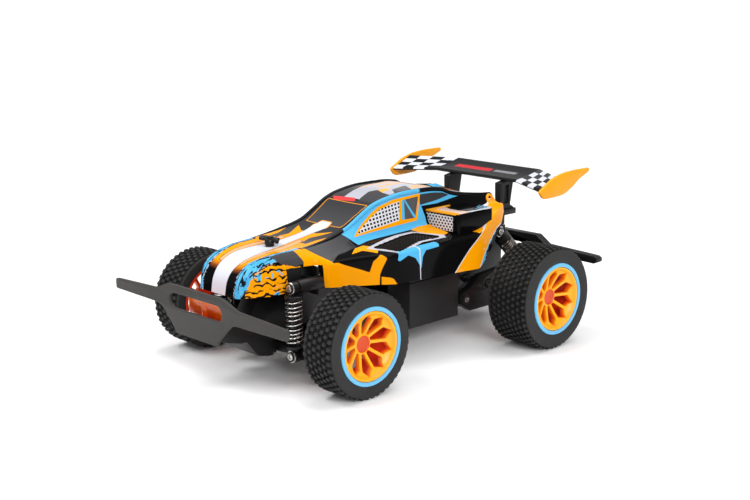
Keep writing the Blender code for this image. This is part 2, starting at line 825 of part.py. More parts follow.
def add_swing_unit(car):
    origin = (0, SWING_Y, SWING_Z)
    axle, idler, motor = gear_places()
    foot_y, foot_z = REAR_SHOCK_FOOT
    arm = (
        arc(SWING_Y + 0.5, SWING_Z, 4.0, 110, 250, 4)
        + [(46, 13.8), (64, 13.8), (74, 22), (84, 32.6)]
        + arc(foot_y, foot_z, 3.0, -30, 120, 4)
        + [(72, 33), (66, 32.4), (54, 31.6), (46, 26)]
    )
    join = []
    cut = []
    for side in (-1, 1):
        join.append(plate(arm, "YZ", sorted((27.2 * side, 31.2 * side))))
        end = REAR_SHOCK_X + EYE_HALF + 0.4
        join += screw_pin((30 * side, foot_y, foot_z), (end * side, foot_y, foot_z))
        cut.append(rod((26 * side, SWING_Y, SWING_Z), (32.4 * side, SWING_Y, SWING_Z), 1.7))
    cut.append(rod((-33, *axle), (33, *axle), AXLE_RADIUS + 0.5))
    join.append(box((-28, 28), (48, 56), (13.8, 16)))
    join.append(box((-28, 28), (62, 66), (13.8, 16)))
    car.add(
        "swing_frame",
        box((-16, 16), (48, 90), (13.8, 16)),
        BLACK,
        origin,
        join=join,
        cut=cut,
    )
    case_y, case_z = (48.4, 90), (16.3, 42)
    inner_y = (case_y[0] + 1.2, case_y[1] - 1.2)
    inner_z = (case_z[0] + 1.0, case_z[1] - 1.2)
    car.add(
        "gearbox_case",
        box((2.6, 13.0), case_y, case_z),
        DARK,
        origin,
        join=[rod((3, *idler), (12.4, *idler), 1.0, 8)],
        cut=[
            difference_box((4.0, 14.0), inner_y, inner_z, (idler, 1.0)),
            rod((0, *axle), (20, *axle), AXLE_RADIUS + 0.5),
            rod((0, *motor), (4.6, *motor), 2.2),
        ],
    )
    car.add(
        "gearbox_cover",
        box((13.3, 15.0), case_y, case_z),
        DARK,
        origin,
        cut=[rod((10, *axle), (20, *axle), AXLE_RADIUS + 0.5)],
    )
    car.add(
        "drive_motor",
        rod((-24, *motor), (2.0, *motor), MOTOR_RADIUS, 20),
        STEEL,
        origin,
        join=[rod((-26, *motor), (-23, *motor), 3.0)],
    )
    idler_phase = meshing_phase(axle, AXLE_GEAR_TEETH, 0.0, idler, IDLER_SMALL_TEETH)
    big_phase = idler_phase / IDLER_SMALL_TEETH * IDLER_BIG_TEETH
    pinion_phase = meshing_phase(idler, IDLER_BIG_TEETH, big_phase, motor, PINION_TEETH)
    car.add(
        "motor_pinion",
        plate(gear_outline(*motor, PINION_TEETH, MOTOR_MODULE, pinion_phase), "YZ", (8.6, 12.2)),
        BRASS,
        (8.6, *motor),
        join=[rod((2.4, *motor), (12.4, *motor), 1.0, 8)],
    )
    car.add(
        "idler_gear",
        plate(gear_outline(*idler, IDLER_SMALL_TEETH, DRIVE_MODULE, idler_phase), "YZ", (4.5, 9.0)),
        WHITE,
        (6.0, *idler),
        join=[
            plate(gear_outline(*idler, IDLER_BIG_TEETH, MOTOR_MODULE, big_phase), "YZ", (8.9, 11.9))
        ],
        cut=[rod((3, *idler), (14, *idler), 1.4, 8)],
    )
    car.add(
        "axle_gear",
        plate(
            gear_outline(*axle, AXLE_GEAR_TEETH, DRIVE_MODULE),
            "YZ",
            (4.5, 8.4),
            holes=[circle(*axle, AXLE_RADIUS + 0.3)],
        ),
        WHITE,
        (6.0, *axle),
    )
    reach = REAR_FACE_X - 9.6 - 0.4
    car.add(
        "rear_axle",
        rod((-reach, *axle), (reach, *axle), AXLE_RADIUS),
        STEEL,
        (0, *axle),
    )
    for side_name, towards in (("left", 1), ("right", -1)):
        add_wheel(
            car, side_name, "rear", REAR_FACE_X, REAR_RADIUS, REAR_WIDTH, towards, (0, *axle)
        )
        x = REAR_SHOCK_X * towards
        strut = Strut((x, *REAR_SHOCK_TOP), (x, foot_y, foot_z), (1, 0, 0))
        add_shock(
            car,
            f"rear_{side_name}",
            strut,
            14.8,
            13.2,
            5,
            (x, *REAR_SHOCK_TOP),
            (x, foot_y, foot_z),
        )


def difference_box(x, y, z, keep):
    """A block to cut away that leaves a round post standing in it."""
    (post_y, post_z), radius = keep
    outline = [(y[0], z[0]), (y[1], z[0]), (y[1], z[1]), (y[0], z[1])]
    return plate(outline, "YZ", x, holes=[circle(post_y, post_z, radius, 8)])


# ---------------------------------------------------------------- wing

def wing_underside(y):
    return 78.7 + (y - 83.4) * 0.173 - WING_THICKNESS - GAP


def add_wing(car):
    def row(x, front, rear):
        (front_y, front_z), (rear_y, rear_z) = front, rear
        share = (0, 0.5, 1)
        sag = (0, -0.4, 0)
        return [
            (x, rear_y + (front_y - rear_y) * t, rear_z + (front_z - rear_z) * t + s)
            for t, s in zip(share, sag)
        ]

    rows = [
        row(-53.2, (73.4, 77.6), (87.4, 83.4)),
        row(-29.2, (83.4, 78.7), (104.8, 82.4)),
        row(0, (83.4, 78.7), (104.8, 82.4)),
        row(29.2, (83.4, 78.7), (104.8, 82.4)),
        row(53.2, (73.4, 77.6), (87.4, 83.4)),
    ]
    car.add("wing_plane", loft(rows, WING_THICKNESS), BLACK)
    fin = [(71.6, 76.5), (75.6, 72.3), (93, 72.8), (106, 79.8)]
    fin += arc(113.2, 83.4, 1.4, -30, 90, 4)
    fin += [(103, 84.9), (90, 84.1), (82, 82), (76, 78.8)]
    post = [
        (78.8, 53.5),
        (84, 53.5),
        (84, 58.2),
        (93.4, 58.2),
        (93.4, 61.3),
        (89.8, 63.4),
        (92.5, wing_underside(92.5) - 0.5),
        (81.4, wing_underside(81.4) - 0.5),
        (81.7, 64),
        (78.8, 61),
    ]
    for side, towards in (("left", 1), ("right", -1)):
        plane_x = sorted((53.6 * towards, 55.4 * towards))
        car.add(f"wing_endplate_{side}", plate(fin, "YZ", plane_x), ORANGE)
        car.add(
            f"wing_post_{side}",
            plate(post, "YZ", sorted((16.8 * towards, 20.8 * towards))),
            BLACK,
            join=[
                box(sorted((15.6 * towards, 22 * towards)), (79.4, 84), (53.5, 61)),
                box(sorted((15.6 * towards, 22 * towards)), (83, 93.4), (58.2, 61.3)),
            ],
            cut=[box(sorted((19.6 * towards, 22.6 * towards)), (84.6, 88.4), (64.6, 74.6))],
        )


# ---------------------------------------------------------------- body shell

BODY_ROWS = [
    # y and z of the centre line, then x, y, z of the ridge, shoulder, flank and sill
    ((-94.4, 43.6), (13.0, -94.6, 43.6), (14.6, -94.0, 43.6), (15.2, -93.0, 43.6), (15.8, -91.8, 43.6)),
    ((-93.4, 49.0), (14.0, -93.6, 49.5), (15.6, -92.6, 48.2), (16.8, -90.6, 46.3), (17.6, -88.8, 43.6)),
    ((-90.8, 53.8), (14.8, -91.2, 54.6), (17.0, -89.6, 52.2), (18.4, -87.4, 48.0), (19.2, -86.0, 43.6)),
    ((-86.0, 57.4), (15.8, -86.6, 58.4), (19.0, -85.0, 55.0), (20.4, -83.4, 49.0), (21.4, -82.8, 43.6)),
    ((-79.6, 59.6), (17.0, -80.0, 60.4), (20.2, -79.6, 56.2), (21.3, -79.0, 49.8), (22.0, -78.6, 43.7)),
    ((-72.0, 60.7), (17.8, -72.0, 61.6), (21.2, -72.0, 57.4), (22.0, -72.0, 50.4), (22.6, -72.0, 43.8)),
    ((-64.0, 61.2), (18.6, -64.0, 62.0), (22.6, -64.0, 57.6), (23.4, -64.0, 50.8), (24.0, -64.0, 44.0)),
    ((-56.5, 61.8), (19.0, -56.5, 62.4), (24.6, -56.5, 57.6), (25.4, -56.5, 51.0), (26.0, -56.5, 44.2)),
    ((-51.5, 62.4), (18.8, -51.5, 62.8), (27.5, -51.5, 57.8), (31.2, -51.5, 56.2), (31.6, -51.5, 44.3)),
    ((-40.0, 64.1), (18.0, -40.0, 64.2), (27.5, -40.0, 59.0), (34.8, -40.0, 56.8), (35.2, -40.0, 43.6)),
    ((-29.0, 66.6), (16.8, -29.0, 67.0), (24.6, -29.0, 60.4), (38.8, -29.0, 57.2), (39.4, -29.0, 43.0)),
    ((-20.0, 71.2), (16.6, -20.0, 71.6), (22.0, -20.0, 61.0), (43.0, -20.0, 57.4), (43.8, -20.0, 42.6)),
    ((-12.0, 75.6), (16.8, -12.0, 75.8), (21.6, -12.0, 61.2), (44.0, -12.0, 57.6), (44.6, -12.0, 42.4)),
    ((-4.0, 78.1), (17.2, -4.0, 78.0), (21.6, -4.0, 61.4), (44.2, -4.0, 57.8), (44.8, -4.0, 42.2)),
    ((12.0, 80.2), (17.4, 12.0, 79.7), (21.8, 12.0, 61.8), (44.2, 12.0, 58.0), (44.8, 12.0, 41.6)),
    ((27.0, 80.0), (17.4, 27.0, 79.5), (22.2, 27.0, 62.0), (44.0, 27.0, 58.2), (44.6, 27.0, 40.8)),
    ((38.0, 78.6), (17.2, 38.0, 78.2), (22.6, 38.0, 62.4), (43.4, 38.0, 58.6), (44.0, 38.0, 40.2)),
    ((44.0, 76.0), (17.8, 44.0, 75.8), (23.0, 44.0, 63.2), (42.4, 44.0, 59.6), (43.0, 44.0, 43.4)),
    ((51.0, 72.8), (18.8, 51.0, 74.2), (23.6, 51.0, 66.6), (40.4, 51.0, 62.2), (41.0, 51.0, 48.0)),
    ((61.0, 71.0), (20.0, 61.0, 73.4), (24.4, 61.0, 67.2), (36.4, 61.0, 66.0), (38.0, 61.0, 57.0)),
    ((74.0, 69.8), (20.6, 73.6, 72.6), (25.0, 73.2, 67.4), (30.4, 72.4, 67.6), (31.8, 71.6, 63.4)),
]


def add_body(car):
    rows = []
    for (y, z), *rails in BODY_ROWS:
        left = [(x, rail_y, rail_z) for x, rail_y, rail_z in rails]
        right = [(-x, rail_y, rail_z) for x, rail_y, rail_z in reversed(left)]
        rows.append([*right, (0, y, z), *left])
    intake = [(19.4, 24), (41.2, 25.4), (39.4, 53), (19.4, 53)]
    hollow = [(18, 25.6), (39.8, 26.9), (38.1, 51.8), (18, 51.8)]
    duct = [(31.5, -25), (35.8, -21), (41.4, -17.6), (41.6, -15.6), (36.8, 0.8), (37.4, 14.8)]
    duct += [(36.4, 16.6), (27.2, 8), (27.2, -2), (29.6, -15)]
    join = []
    cut = [rod((0, -63, 50), (0, -63, 70), 2.2)]
    for sided in (lambda mesh: mesh, mirrored):
        join.append(sided(plate(intake, "XY", (58.5, 69.6))))
        cut.append(sided(plate(hollow, "XY", (50, 68.3))))
        cut.append(sided(plate(duct, "XY", (50, 70))))
        cut.append(sided(box((19.5, 40), (-70.8, -54.4), (36, 54.8))))
    car.add("body_shell", loft(rows, BODY_WALL), ORANGE, join=join, cut=cut)


# ---------------------------------------------------------------- assembly

clear_scene()
BLACK = material("black_plastic", (0.02, 0.02, 0.022), 0.42)
DARK = material("dark_plastic", (0.05, 0.04, 0.04), 0.5)
CHARCOAL = material("charcoal_plastic", (0.045, 0.045, 0.05), 0.55)
MATT_GREY = material("matt_grey_plastic", (0.11, 0.11, 0.115), 0.7)
RUBBER = material("tyre_rubber", (0.03, 0.03, 0.032), 0.85)
ORANGE = material("orange_plastic", (0.9, 0.33, 0.02), 0.35)
RED_ORANGE = material("red_orange_plastic", (0.85, 0.12, 0.01), 0.25)
SKY = material("sky_blue_plastic", (0.2, 0.55, 0.85), 0.45)
BLUE = material("battery_wrap", (0.05, 0.12, 0.5), 0.4)
GREEN = material("board_green", (0.02, 0.2, 0.06), 0.5)
WHITE = material("white_nylon", (0.8, 0.8, 0.78), 0.45)
GREY = material("grey_plastic", (0.25, 0.25, 0.26), 0.5)
STEEL = material("steel", (0.6, 0.6, 0.62), 0.3, 1.0)
BRASS = material("brass", (0.75, 0.55, 0.25), 0.35, 1.0)

buggy = Car()
add_chassis(buggy)
add_front_end(buggy)
add_bumpers(buggy)
for name, direction in (("left", 1), ("right", -1)):
    add_front_suspension(buggy, name, direction)
add_steering(buggy)
add_rear_frame(buggy)
add_swing_unit(buggy)
add_wing(buggy)
add_body(buggy)
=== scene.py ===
"""Looks of a 1:20 off-road buggy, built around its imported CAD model.

Lengths in this file are millimetres, with y counted from midway between the axles, as the
part's own source counts them; `at` turns such a place into the frame's metres.
"""

import json
import math

import bmesh
import bpy
import numpy as np
from mathutils import Matrix, Vector

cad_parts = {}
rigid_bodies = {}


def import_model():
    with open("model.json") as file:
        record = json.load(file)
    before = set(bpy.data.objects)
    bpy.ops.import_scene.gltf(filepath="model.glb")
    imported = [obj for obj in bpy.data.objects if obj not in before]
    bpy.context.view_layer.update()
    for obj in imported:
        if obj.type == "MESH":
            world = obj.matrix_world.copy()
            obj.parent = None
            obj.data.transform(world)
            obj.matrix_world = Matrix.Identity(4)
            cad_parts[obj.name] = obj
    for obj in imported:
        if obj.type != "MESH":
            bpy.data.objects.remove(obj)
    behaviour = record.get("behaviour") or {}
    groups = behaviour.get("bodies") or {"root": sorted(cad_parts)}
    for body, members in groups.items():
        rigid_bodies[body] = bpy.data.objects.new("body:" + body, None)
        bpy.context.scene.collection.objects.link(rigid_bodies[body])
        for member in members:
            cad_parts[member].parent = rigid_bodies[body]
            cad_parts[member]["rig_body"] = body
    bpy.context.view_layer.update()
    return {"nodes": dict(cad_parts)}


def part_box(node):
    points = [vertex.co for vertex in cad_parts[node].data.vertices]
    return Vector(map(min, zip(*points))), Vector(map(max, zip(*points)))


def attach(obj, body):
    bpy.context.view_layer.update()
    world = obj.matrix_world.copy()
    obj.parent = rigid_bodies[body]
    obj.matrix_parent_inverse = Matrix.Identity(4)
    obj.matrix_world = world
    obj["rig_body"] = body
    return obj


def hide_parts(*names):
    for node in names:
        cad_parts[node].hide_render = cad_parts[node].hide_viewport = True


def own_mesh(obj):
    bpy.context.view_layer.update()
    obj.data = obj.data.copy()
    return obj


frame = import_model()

MM = 0.001
MIDDLE_Y = 3.3
AXLE_Y = 60.25
SIDES = (("left", 1), ("right", -1))
BEHIND = (-0.725, 0.689, 0.0)  # from the viewer past the car, along the floor
FLOOR_FADE = (0.3, 0.85)  # metres from the car between which the floor thins out


def at(x, y, z):
    return Vector((x, y - MIDDLE_Y, z)) * MM


# ---------------------------------------------------------------- camera, floor and lights

def aim_camera():
    data = bpy.data.cameras.new("camera")
    data.lens = 60.86
    data.sensor_width = 36.0
    data.clip_start = 0.01
    camera = bpy.data.objects.new("camera", data)
    right = Vector((0.69534, 0.71866, -0.00540))
    up = Vector((-0.15632, 0.15858, 0.97489))
    back = right.cross(up)
    turn = Matrix((right, up, back)).transposed().to_4x4()
    camera.matrix_world = Matrix.Translation(at(460.163, -437.222, 193.906)) @ turn
    bpy.context.scene.collection.objects.link(camera)
    bpy.context.scene.camera = camera


def area_light(name, place, target, size, power, colour=(1, 1, 1)):
    data = bpy.data.lights.new(name, "AREA")
    data.shape = "RECTANGLE"
    data.size, data.size_y = size
    data.energy = power
    data.color = colour
    light = bpy.data.objects.new(name, data)
    light.location = place
    light.rotation_euler = (Vector(target) - Vector(place)).to_track_quat("-Z", "Y").to_euler()
    bpy.context.scene.collection.objects.link(light)


def fade(tree, value, span, ends):
    made = tree.nodes.new("ShaderNodeMapRange")
    made.interpolation_type = "SMOOTHSTEP"
    tree.links.new(value, made.inputs["Value"])
    for socket, number in zip(("From Min", "From Max", "To Min", "To Max"), (*span, *ends)):
        made.inputs[socket].default_value = number
    return made.outputs["Result"]


def light_dome(tree, strength):
    """White behind the car; dimmer overhead and on the side that the car faces."""
    place = tree.nodes.new("ShaderNodeTexCoord").outputs["Generated"]
    away = tree.nodes.new("ShaderNodeVectorMath")
    away.operation = "DOT_PRODUCT"
    tree.links.new(place, away.inputs[0])
    away.inputs[1].default_value = BEHIND
    height = tree.nodes.new("ShaderNodeSeparateXYZ")
    tree.links.new(place, height.inputs[0])
    low = fade(tree, height.outputs["Z"], (0.15, 0.45), (1.0, 0.0))
    back = fade(tree, away.outputs["Value"], (0.1, 0.7), (0.34, 1.06))
    mixed = tree.nodes.new("ShaderNodeMix")
    tree.links.new(low, mixed.inputs["Factor"])
    mixed.inputs["A"].default_value = 0.34
    tree.links.new(back, mixed.inputs["B"])
    tree.links.new(mixed.outputs["Result"], strength)


def feather(paint):
    """Lets the floor thin out to nothing beyond the car."""
    tree = paint.tree
    reach = tree.nodes.new("ShaderNodeVectorMath")
    reach.operation = "LENGTH"
    tree.links.new(paint.where, reach.inputs[0])
    clear = tree.nodes.new("ShaderNodeBsdfTransparent")
    blend = tree.nodes.new("ShaderNodeMixShader")
    tree.links.new(fade(tree, reach.outputs["Value"], FLOOR_FADE, (0.0, 1.0)), blend.inputs["Fac"])
    tree.links.new(paint.shader.outputs["BSDF"], blend.inputs[1])
    tree.links.new(clear.outputs["BSDF"], blend.inputs[2])
    tree.links.new(blend.outputs["Shader"], tree.nodes["Material Output"].inputs["Surface"])


def build_studio():
    bm = bmesh.new()
    bmesh.ops.create_circle(bm, cap_ends=True, segments=96, radius=FLOOR_FADE[1] + 0.1)
    mesh = bpy.data.meshes.new("floor")
    bm.to_mesh(mesh)
    bm.free()
    floor = bpy.data.objects.new("floor", mesh)
    bpy.context.scene.collection.objects.link(floor)
    paint = Paint("floor_paper", (0.93, 0.93, 0.935), 0.8, specular=0.1)
    paint.mottle(40, 0.01)
    feather(paint)
    floor.data.materials.append(paint.material)
    world = bpy.data.worlds.new("studio")
    world.use_nodes = True
    sky = world.node_tree.nodes["Background"]
    sky.inputs["Color"].default_value = (1, 1, 1, 1)
    light_dome(world.node_tree, sky.inputs["Strength"])
    bpy.context.scene.world = world
    area_light("key", (-0.55, -0.9, 1.25), (0, 0, 0), (0.8, 0.8), 17)
    area_light("top", (0.1, 0.35, 1.3), (0, 0, 0), (1.4, 1.0), 11)
    area_light("side", (1.25, -0.55, 0.75), (0, 0, 0.03), (0.9, 0.6), 17)
    bpy.context.scene.view_settings.view_transform = "Standard"
    bpy.context.scene.view_settings.look = "None"


# ---------------------------------------------------------------- materials

class Paint:
    """A Principled material whose colour, roughness and relief come from noise in metres."""

    def __init__(self, name, colour, roughness, metallic=0.0, coat=0.0, specular=0.5):
        self.material = bpy.data.materials.new(name)
        self.material.use_nodes = True
        self.tree = self.material.node_tree
        self.shader = self.tree.nodes["Principled BSDF"]
        self.shader.inputs["Metallic"].default_value = metallic
        self.shader.inputs["Specular IOR Level"].default_value = specular
        self.shader.inputs["Coat Weight"].default_value = coat
        self.shader.inputs["Coat Roughness"].default_value = 0.06
        self.colour = (*colour, 1.0)
        self.roughness = roughness
        self.height = None
        self.where = self.node("ShaderNodeTexCoord").outputs["Object"]
        self.shader.inputs["Base Color"].default_value = self.colour
        self.shader.inputs["Roughness"].default_value = roughness

    def node(self, kind, **values):
        made = self.tree.nodes.new(kind)
        for name, value in values.items():
            setattr(made, name, value)
        return made

    def put(self, value, socket):
        if isinstance(value, bpy.types.NodeSocket):
            self.tree.links.new(value, socket)
        elif value is not None:
            socket.default_value = value

    def math(self, operation, a, b=None, c=None, clamp=False):
        made = self.node("ShaderNodeMath", operation=operation, use_clamp=clamp)
        for value, socket in zip((a, b, c), made.inputs):
            self.put(value, socket)
        return made.outputs[0]

    def mix(self, factor, a, b):
        made = self.node("ShaderNodeMix", data_type="RGBA")
        self.put(factor, made.inputs["Factor"])
        for value, name in ((a, "A"), (b, "B")):
            value = (*value, 1.0) if isinstance(value, tuple) and len(value) == 3 else value
            self.put(value, [s for s in made.inputs if s.name == name and s.type == "RGBA"][0])
        return [s for s in made.outputs if s.type == "RGBA"][0]

    def ramp(self, value, low, high):
        made = self.node("ShaderNodeMapRange")
        self.put(value, made.inputs["Value"])
        made.inputs["From Min"].default_value = low
        made.inputs["From Max"].default_value = high
        return made.outputs["Result"]

    def noise(self, scale, detail=3.0, stretch=None, where=None, distortion=0.0):
        where = self.where if where is None else where
        if stretch:
            made = self.node("ShaderNodeMapping")
            self.put(where, made.inputs["Vector"])
            made.inputs["Scale"].default_value = stretch
            where = made.outputs["Vector"]
        made = self.node("ShaderNodeTexNoise")
        self.put(where, made.inputs["Vector"])
        made.inputs["Scale"].default_value = scale
        made.inputs["Detail"].default_value = detail
        made.inputs["Distortion"].default_value = distortion
        return made.outputs["Fac"]

    def mottle(self, scale, amount, rough=0.06, relief=0.0, relief_scale=None, colour=None):
        """Uneven colour and gloss, and a fine relief in metres."""
        base = self.colour if colour is None else colour
        cloud = self.noise(scale, 5.0)
        shade = self.math("MULTIPLY_ADD", cloud, 2 * amount, 1 - amount)
        hsv = self.node("ShaderNodeHueSaturation")
        self.put(shade, hsv.inputs["Value"])
        self.put(base, hsv.inputs["Color"])
        self.put(hsv.outputs["Color"], self.shader.inputs["Base Color"])
        worn = self.noise(scale * 2.7, 4.0)
        gloss = self.math("MULTIPLY_ADD", worn, 2 * rough, self.roughness - rough)
        self.put(gloss, self.shader.inputs["Roughness"])
        if relief:
            self.relief(self.noise(relief_scale or scale * 8, 3.0), relief)
        return self

    def axes(self):
        """The place on the object as x, y and z in part millimetres."""
        parts = self.node("ShaderNodeSeparateXYZ")
        self.put(self.where, parts.inputs[0])
        shifts = (0.0, MIDDLE_Y, 0.0)
        return [self.math("MULTIPLY_ADD", parts.outputs[k], 1 / MM, shifts[k]) for k in range(3)]

    def relief(self, height, distance):
        made = self.node("ShaderNodeBump")
        made.inputs["Distance"].default_value = distance
        made.inputs["Strength"].default_value = 1.0
        self.put(height, made.inputs["Height"])
        self.put(made.outputs["Normal"], self.shader.inputs["Normal"])


def plastic(name, colour, roughness, grain=2200, relief=0.00002, amount=0.12, coat=0.0):
    """Moulded plastic with a fine grain, faint flow marks and uneven gloss."""
    return Paint(name, colour, roughness, coat=coat, specular=0.28).mottle(
        90, amount, 0.07, relief, grain
    ).material


def rim_paint():
    """Yellow-orange nylon, with painted shade: it turns red with depth behind the spokes' faces and darkest red on the
    hub's disc.
    """
    made = Paint("rim_orange", (0.90, 0.34, 0.002), 0.34, specular=0.4)
    behind = made.node("ShaderNodeAttribute", attribute_name="behind").outputs["Fac"]
    # painted shade: lit orange on the spokes' faces, darker and red deeper in the windows, darkest red on the hub's
    # disc
    lit = made.mix(made.ramp(behind, 0.1, 1.5), (0.93, 0.37, 0.003), (0.84, 0.17, 0.003))
    colour = made.mix(made.ramp(behind, 1.6, 3.4), lit, (0.74, 0.035, 0.006))
    colour = made.mix(made.ramp(behind, 7.0, 9.0), colour, (0.56, 0.050, 0.0006))
    return made.mottle(60, 0.05, 0.06, 0.000008, 1500, colour=colour).material


def brace_paint():
    """A glossy red-orange moulding, with painted shade that makes it deeper in tone towards its foot."""
    made = Paint("brace_orange", (0.80, 0.10, 0.004), 0.14, specular=0.45)
    _, _, z = made.axes()
    # painted shade: darker red low down, brighter orange higher up
    cloud = made.math("MULTIPLY_ADD", made.noise(150, 3.0), 6.0, z)
    colour = made.mix(made.ramp(cloud, 37.0, 44.0), (0.58, 0.030, 0.002), (0.82, 0.13, 0.003))
    return made.mottle(80, 0.06, 0.05, 0.00001, 700, colour=colour).material


def metal(name, colour, roughness, stretch=(1, 1, 1)):
    made = Paint(name, colour, roughness, metallic=1.0)
    made.mottle(300, 0.1, 0.08, 0.000006, 4000)
    return made.material


# ---------------------------------------------------------------- mesh tools

def piece(name, mesh, paint, body="chassis", replaces=(), smooth=38):
    """Puts a mesh in the scene as a piece that rides on a body."""
    obj = bpy.data.objects.new(name, mesh)
    bpy.context.scene.collection.objects.link(obj)
    if paint is not None:
        obj.data.materials.clear()
        obj.data.materials.append(paint)
    obj.data.shade_smooth()
    if smooth:
        obj.data.set_sharp_from_angle(angle=math.radians(smooth))
    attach(obj, body)
    if replaces:
        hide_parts(*replaces)
    return obj


def baked(obj):
    """The object's mesh with its modifiers applied; the object goes."""
    bpy.context.view_layer.update()
    graph = bpy.context.evaluated_depsgraph_get()
    mesh = bpy.data.meshes.new_from_object(obj.evaluated_get(graph))
    mesh.transform(obj.matrix_world)
    bpy.data.objects.remove(obj, do_unlink=True)
    return mesh


def loose(mesh, name="loose"):
    obj = bpy.data.objects.new(name, mesh)
    bpy.context.scene.collection.objects.link(obj)
    return obj


def from_arrays(points, faces, name="mesh"):
    """A mesh from points in part millimetres."""
    mesh = bpy.data.meshes.new(name)
    places = (np.asarray(points, float) - (0, MIDDLE_Y, 0)) * MM
    mesh.from_pydata([tuple(p) for p in places], [], [tuple(f) for f in faces])
    mesh.update()
    return mesh


def bevelled(mesh, width, segments=2, angle=30):
    obj = loose(mesh)
    soft = obj.modifiers.new("bevel", "BEVEL")
    soft.width = width * MM
    soft.segments = segments
    soft.limit_method = "ANGLE"
    soft.angle_limit = math.radians(angle)
    soft.harden_normals = False
    return baked(obj)


def joined(meshes):
    bm = bmesh.new()
    for mesh in meshes:
        bm.from_mesh(mesh)
    mesh = bpy.data.meshes.new("joined")
    bm.to_mesh(mesh)
    bm.free()
    return mesh


def boolean(mesh, cutters, operation="DIFFERENCE"):
    obj = loose(mesh)
    others = [loose(cutter, "cutter") for cutter in cutters]
    for other in others:
        step = obj.modifiers.new("step", "BOOLEAN")
        step.operation = operation
        step.solver = "EXACT"
        step.object = other
    made = baked(obj)
    for other in others:
        bpy.data.objects.remove(other, do_unlink=True)
    return made


def lathe(profile, centre, sides=96, towards=1, closed=True):
    """A (radius, distance) profile turned about an X axis; distances run inwards."""
    x, y, z = centre
    points = []
    for k in range(sides):
        angle = 2 * math.pi * k / sides
        for r, d in profile:
            points.append((x - d * towards, y + r * math.cos(angle), z + r * math.sin(angle)))
    n = len(profile)
    faces = []
    last = n if closed else n - 1
    for k in range(sides):
        a, b = k * n, (k + 1) % sides * n
        for i in range(last):
            j = (i + 1) % n
            faces.append((a + i, a + j, b + j, b + i) if towards > 0 else (b + i, b + j, a + j, a + i))
    mesh = from_arrays(points, faces)
    bm = bmesh.new()
    bm.from_mesh(mesh)
    bmesh.ops.remove_doubles(bm, verts=bm.verts, dist=0.000001)
    bmesh.ops.recalc_face_normals(bm, faces=bm.faces)
    bm.to_mesh(mesh)
    bm.free()
    return mesh


def sweep(places, radius, sides=12, closed=False, flat=1.0):
    """A tube through the points, its ends closed; radius may vary from point to point."""
    line = np.asarray(places, float)
    count = len(line)
    radii = np.broadcast_to(np.asarray(radius, float), (count,))
    if closed:
        tangents = np.roll(line, -1, 0) - np.roll(line, 1, 0)
    else:
        tangents = np.gradient(line, axis=0)
    tangents /= np.linalg.norm(tangents, axis=1)[:, None]
    start = np.array((0.0, 0.0, 1.0)) if abs(tangents[0][2]) < 0.9 else np.array((1.0, 0.0, 0.0))
    normal = start - tangents[0] * start.dot(tangents[0])
    points = []
    for k in range(count):
        normal = normal - tangents[k] * normal.dot(tangents[k])
        normal /= np.linalg.norm(normal)
        other = np.cross(tangents[k], normal)
        for s in range(sides):
            angle = 2 * math.pi * s / sides
            points.append(
                line[k] + radii[k] * (math.cos(angle) * normal * flat + math.sin(angle) * other)
            )
    faces = []
    for k in range(count if closed else count - 1):
        a, b = k * sides, (k + 1) % count * sides
        for s in range(sides):
            t = (s + 1) % sides
            faces.append((a + s, a + t, b + t, b + s))
    if not closed:
        faces.append(tuple(reversed(range(sides))))
        faces.append(tuple(range((count - 1) * sides, count * sides)))
    return from_arrays(points, faces)


AXES = {  # world directions of an outline's two coordinates and of its thickness
    "XY": ((1, 0, 0), (0, 1, 0), (0, 0, 1)),
    "XZ": ((1, 0, 0), (0, 0, 1), (0, -1, 0)),
    "YZ": ((0, 1, 0), (0, 0, 1), (1, 0, 0)),
}


def rounded(outline, radius, steps=4):
    """The outline with its corners rounded."""
    made = []
    count = len(outline)
    for k in range(count):
        before = np.array(outline[k - 1], float)
        here = np.array(outline[k], float)
        after = np.array(outline[(k + 1) % count], float)
        back, on = before - here, after - here
        cut = min(radius, 0.45 * np.linalg.norm(back), 0.45 * np.linalg.norm(on))
        first = here + back / np.linalg.norm(back) * cut
        last = here + on / np.linalg.norm(on) * cut
        for s in range(steps + 1):
            t = s / steps
            made.append(tuple((1 - t) ** 2 * first + 2 * t * (1 - t) * here + t * t * last))
    return made


def slab(outline, plane, between, holes=(), bevel=0.0):
    """A flat outline given thickness, with rounded edges if bevel is set."""
    curve = bpy.data.curves.new("outline", "CURVE")
    curve.dimensions = "2D"
    curve.fill_mode = "BOTH"
    curve.extrude = (abs(between[1] - between[0]) / 2 - bevel) * MM
    curve.bevel_depth = bevel * MM
    curve.bevel_resolution = 2
    curve.offset = -bevel * MM
    for loop in (outline, *holes):
        spline = curve.splines.new("POLY")
        spline.points.add(len(loop) - 1)
        spline.use_cyclic_u = True
        for place, (u, v) in zip(spline.points, loop):
            place.co = (u * MM, v * MM, 0, 1)
    across, up, through = (Vector(axis) for axis in AXES[plane])
    sign = -1 if plane == "XZ" else 1
    middle = through * sign * (between[0] + between[1]) / 2 * MM
    turn = Matrix((across, up, through)).transposed().to_4x4()
    obj = loose(curve)
    obj.matrix_world = Matrix.Translation(Vector((0, -MIDDLE_Y * MM, 0)) + middle) @ turn
    mesh = baked(obj)
    bm = bmesh.new()
    bm.from_mesh(mesh)
    bmesh.ops.remove_doubles(bm, verts=bm.verts, dist=0.000002)
    bmesh.ops.recalc_face_normals(bm, faces=bm.faces)
    bm.to_mesh(mesh)
    bm.free()
    return mesh


def block(x, y, z, bevel=0.0):
    bm = bmesh.new()
    size = [abs(pair[1] - pair[0]) * MM for pair in (x, y, z)]
    middle = at(*[(pair[0] + pair[1]) / 2 for pair in (x, y, z)])
    bmesh.ops.create_cube(bm, size=1.0, matrix=Matrix.Translation(middle) @ Matrix.Diagonal((*size, 1)))
    mesh = bpy.data.meshes.new("block")
    bm.to_mesh(mesh)
    bm.free()
    return bevelled(mesh, bevel, 3) if bevel else mesh


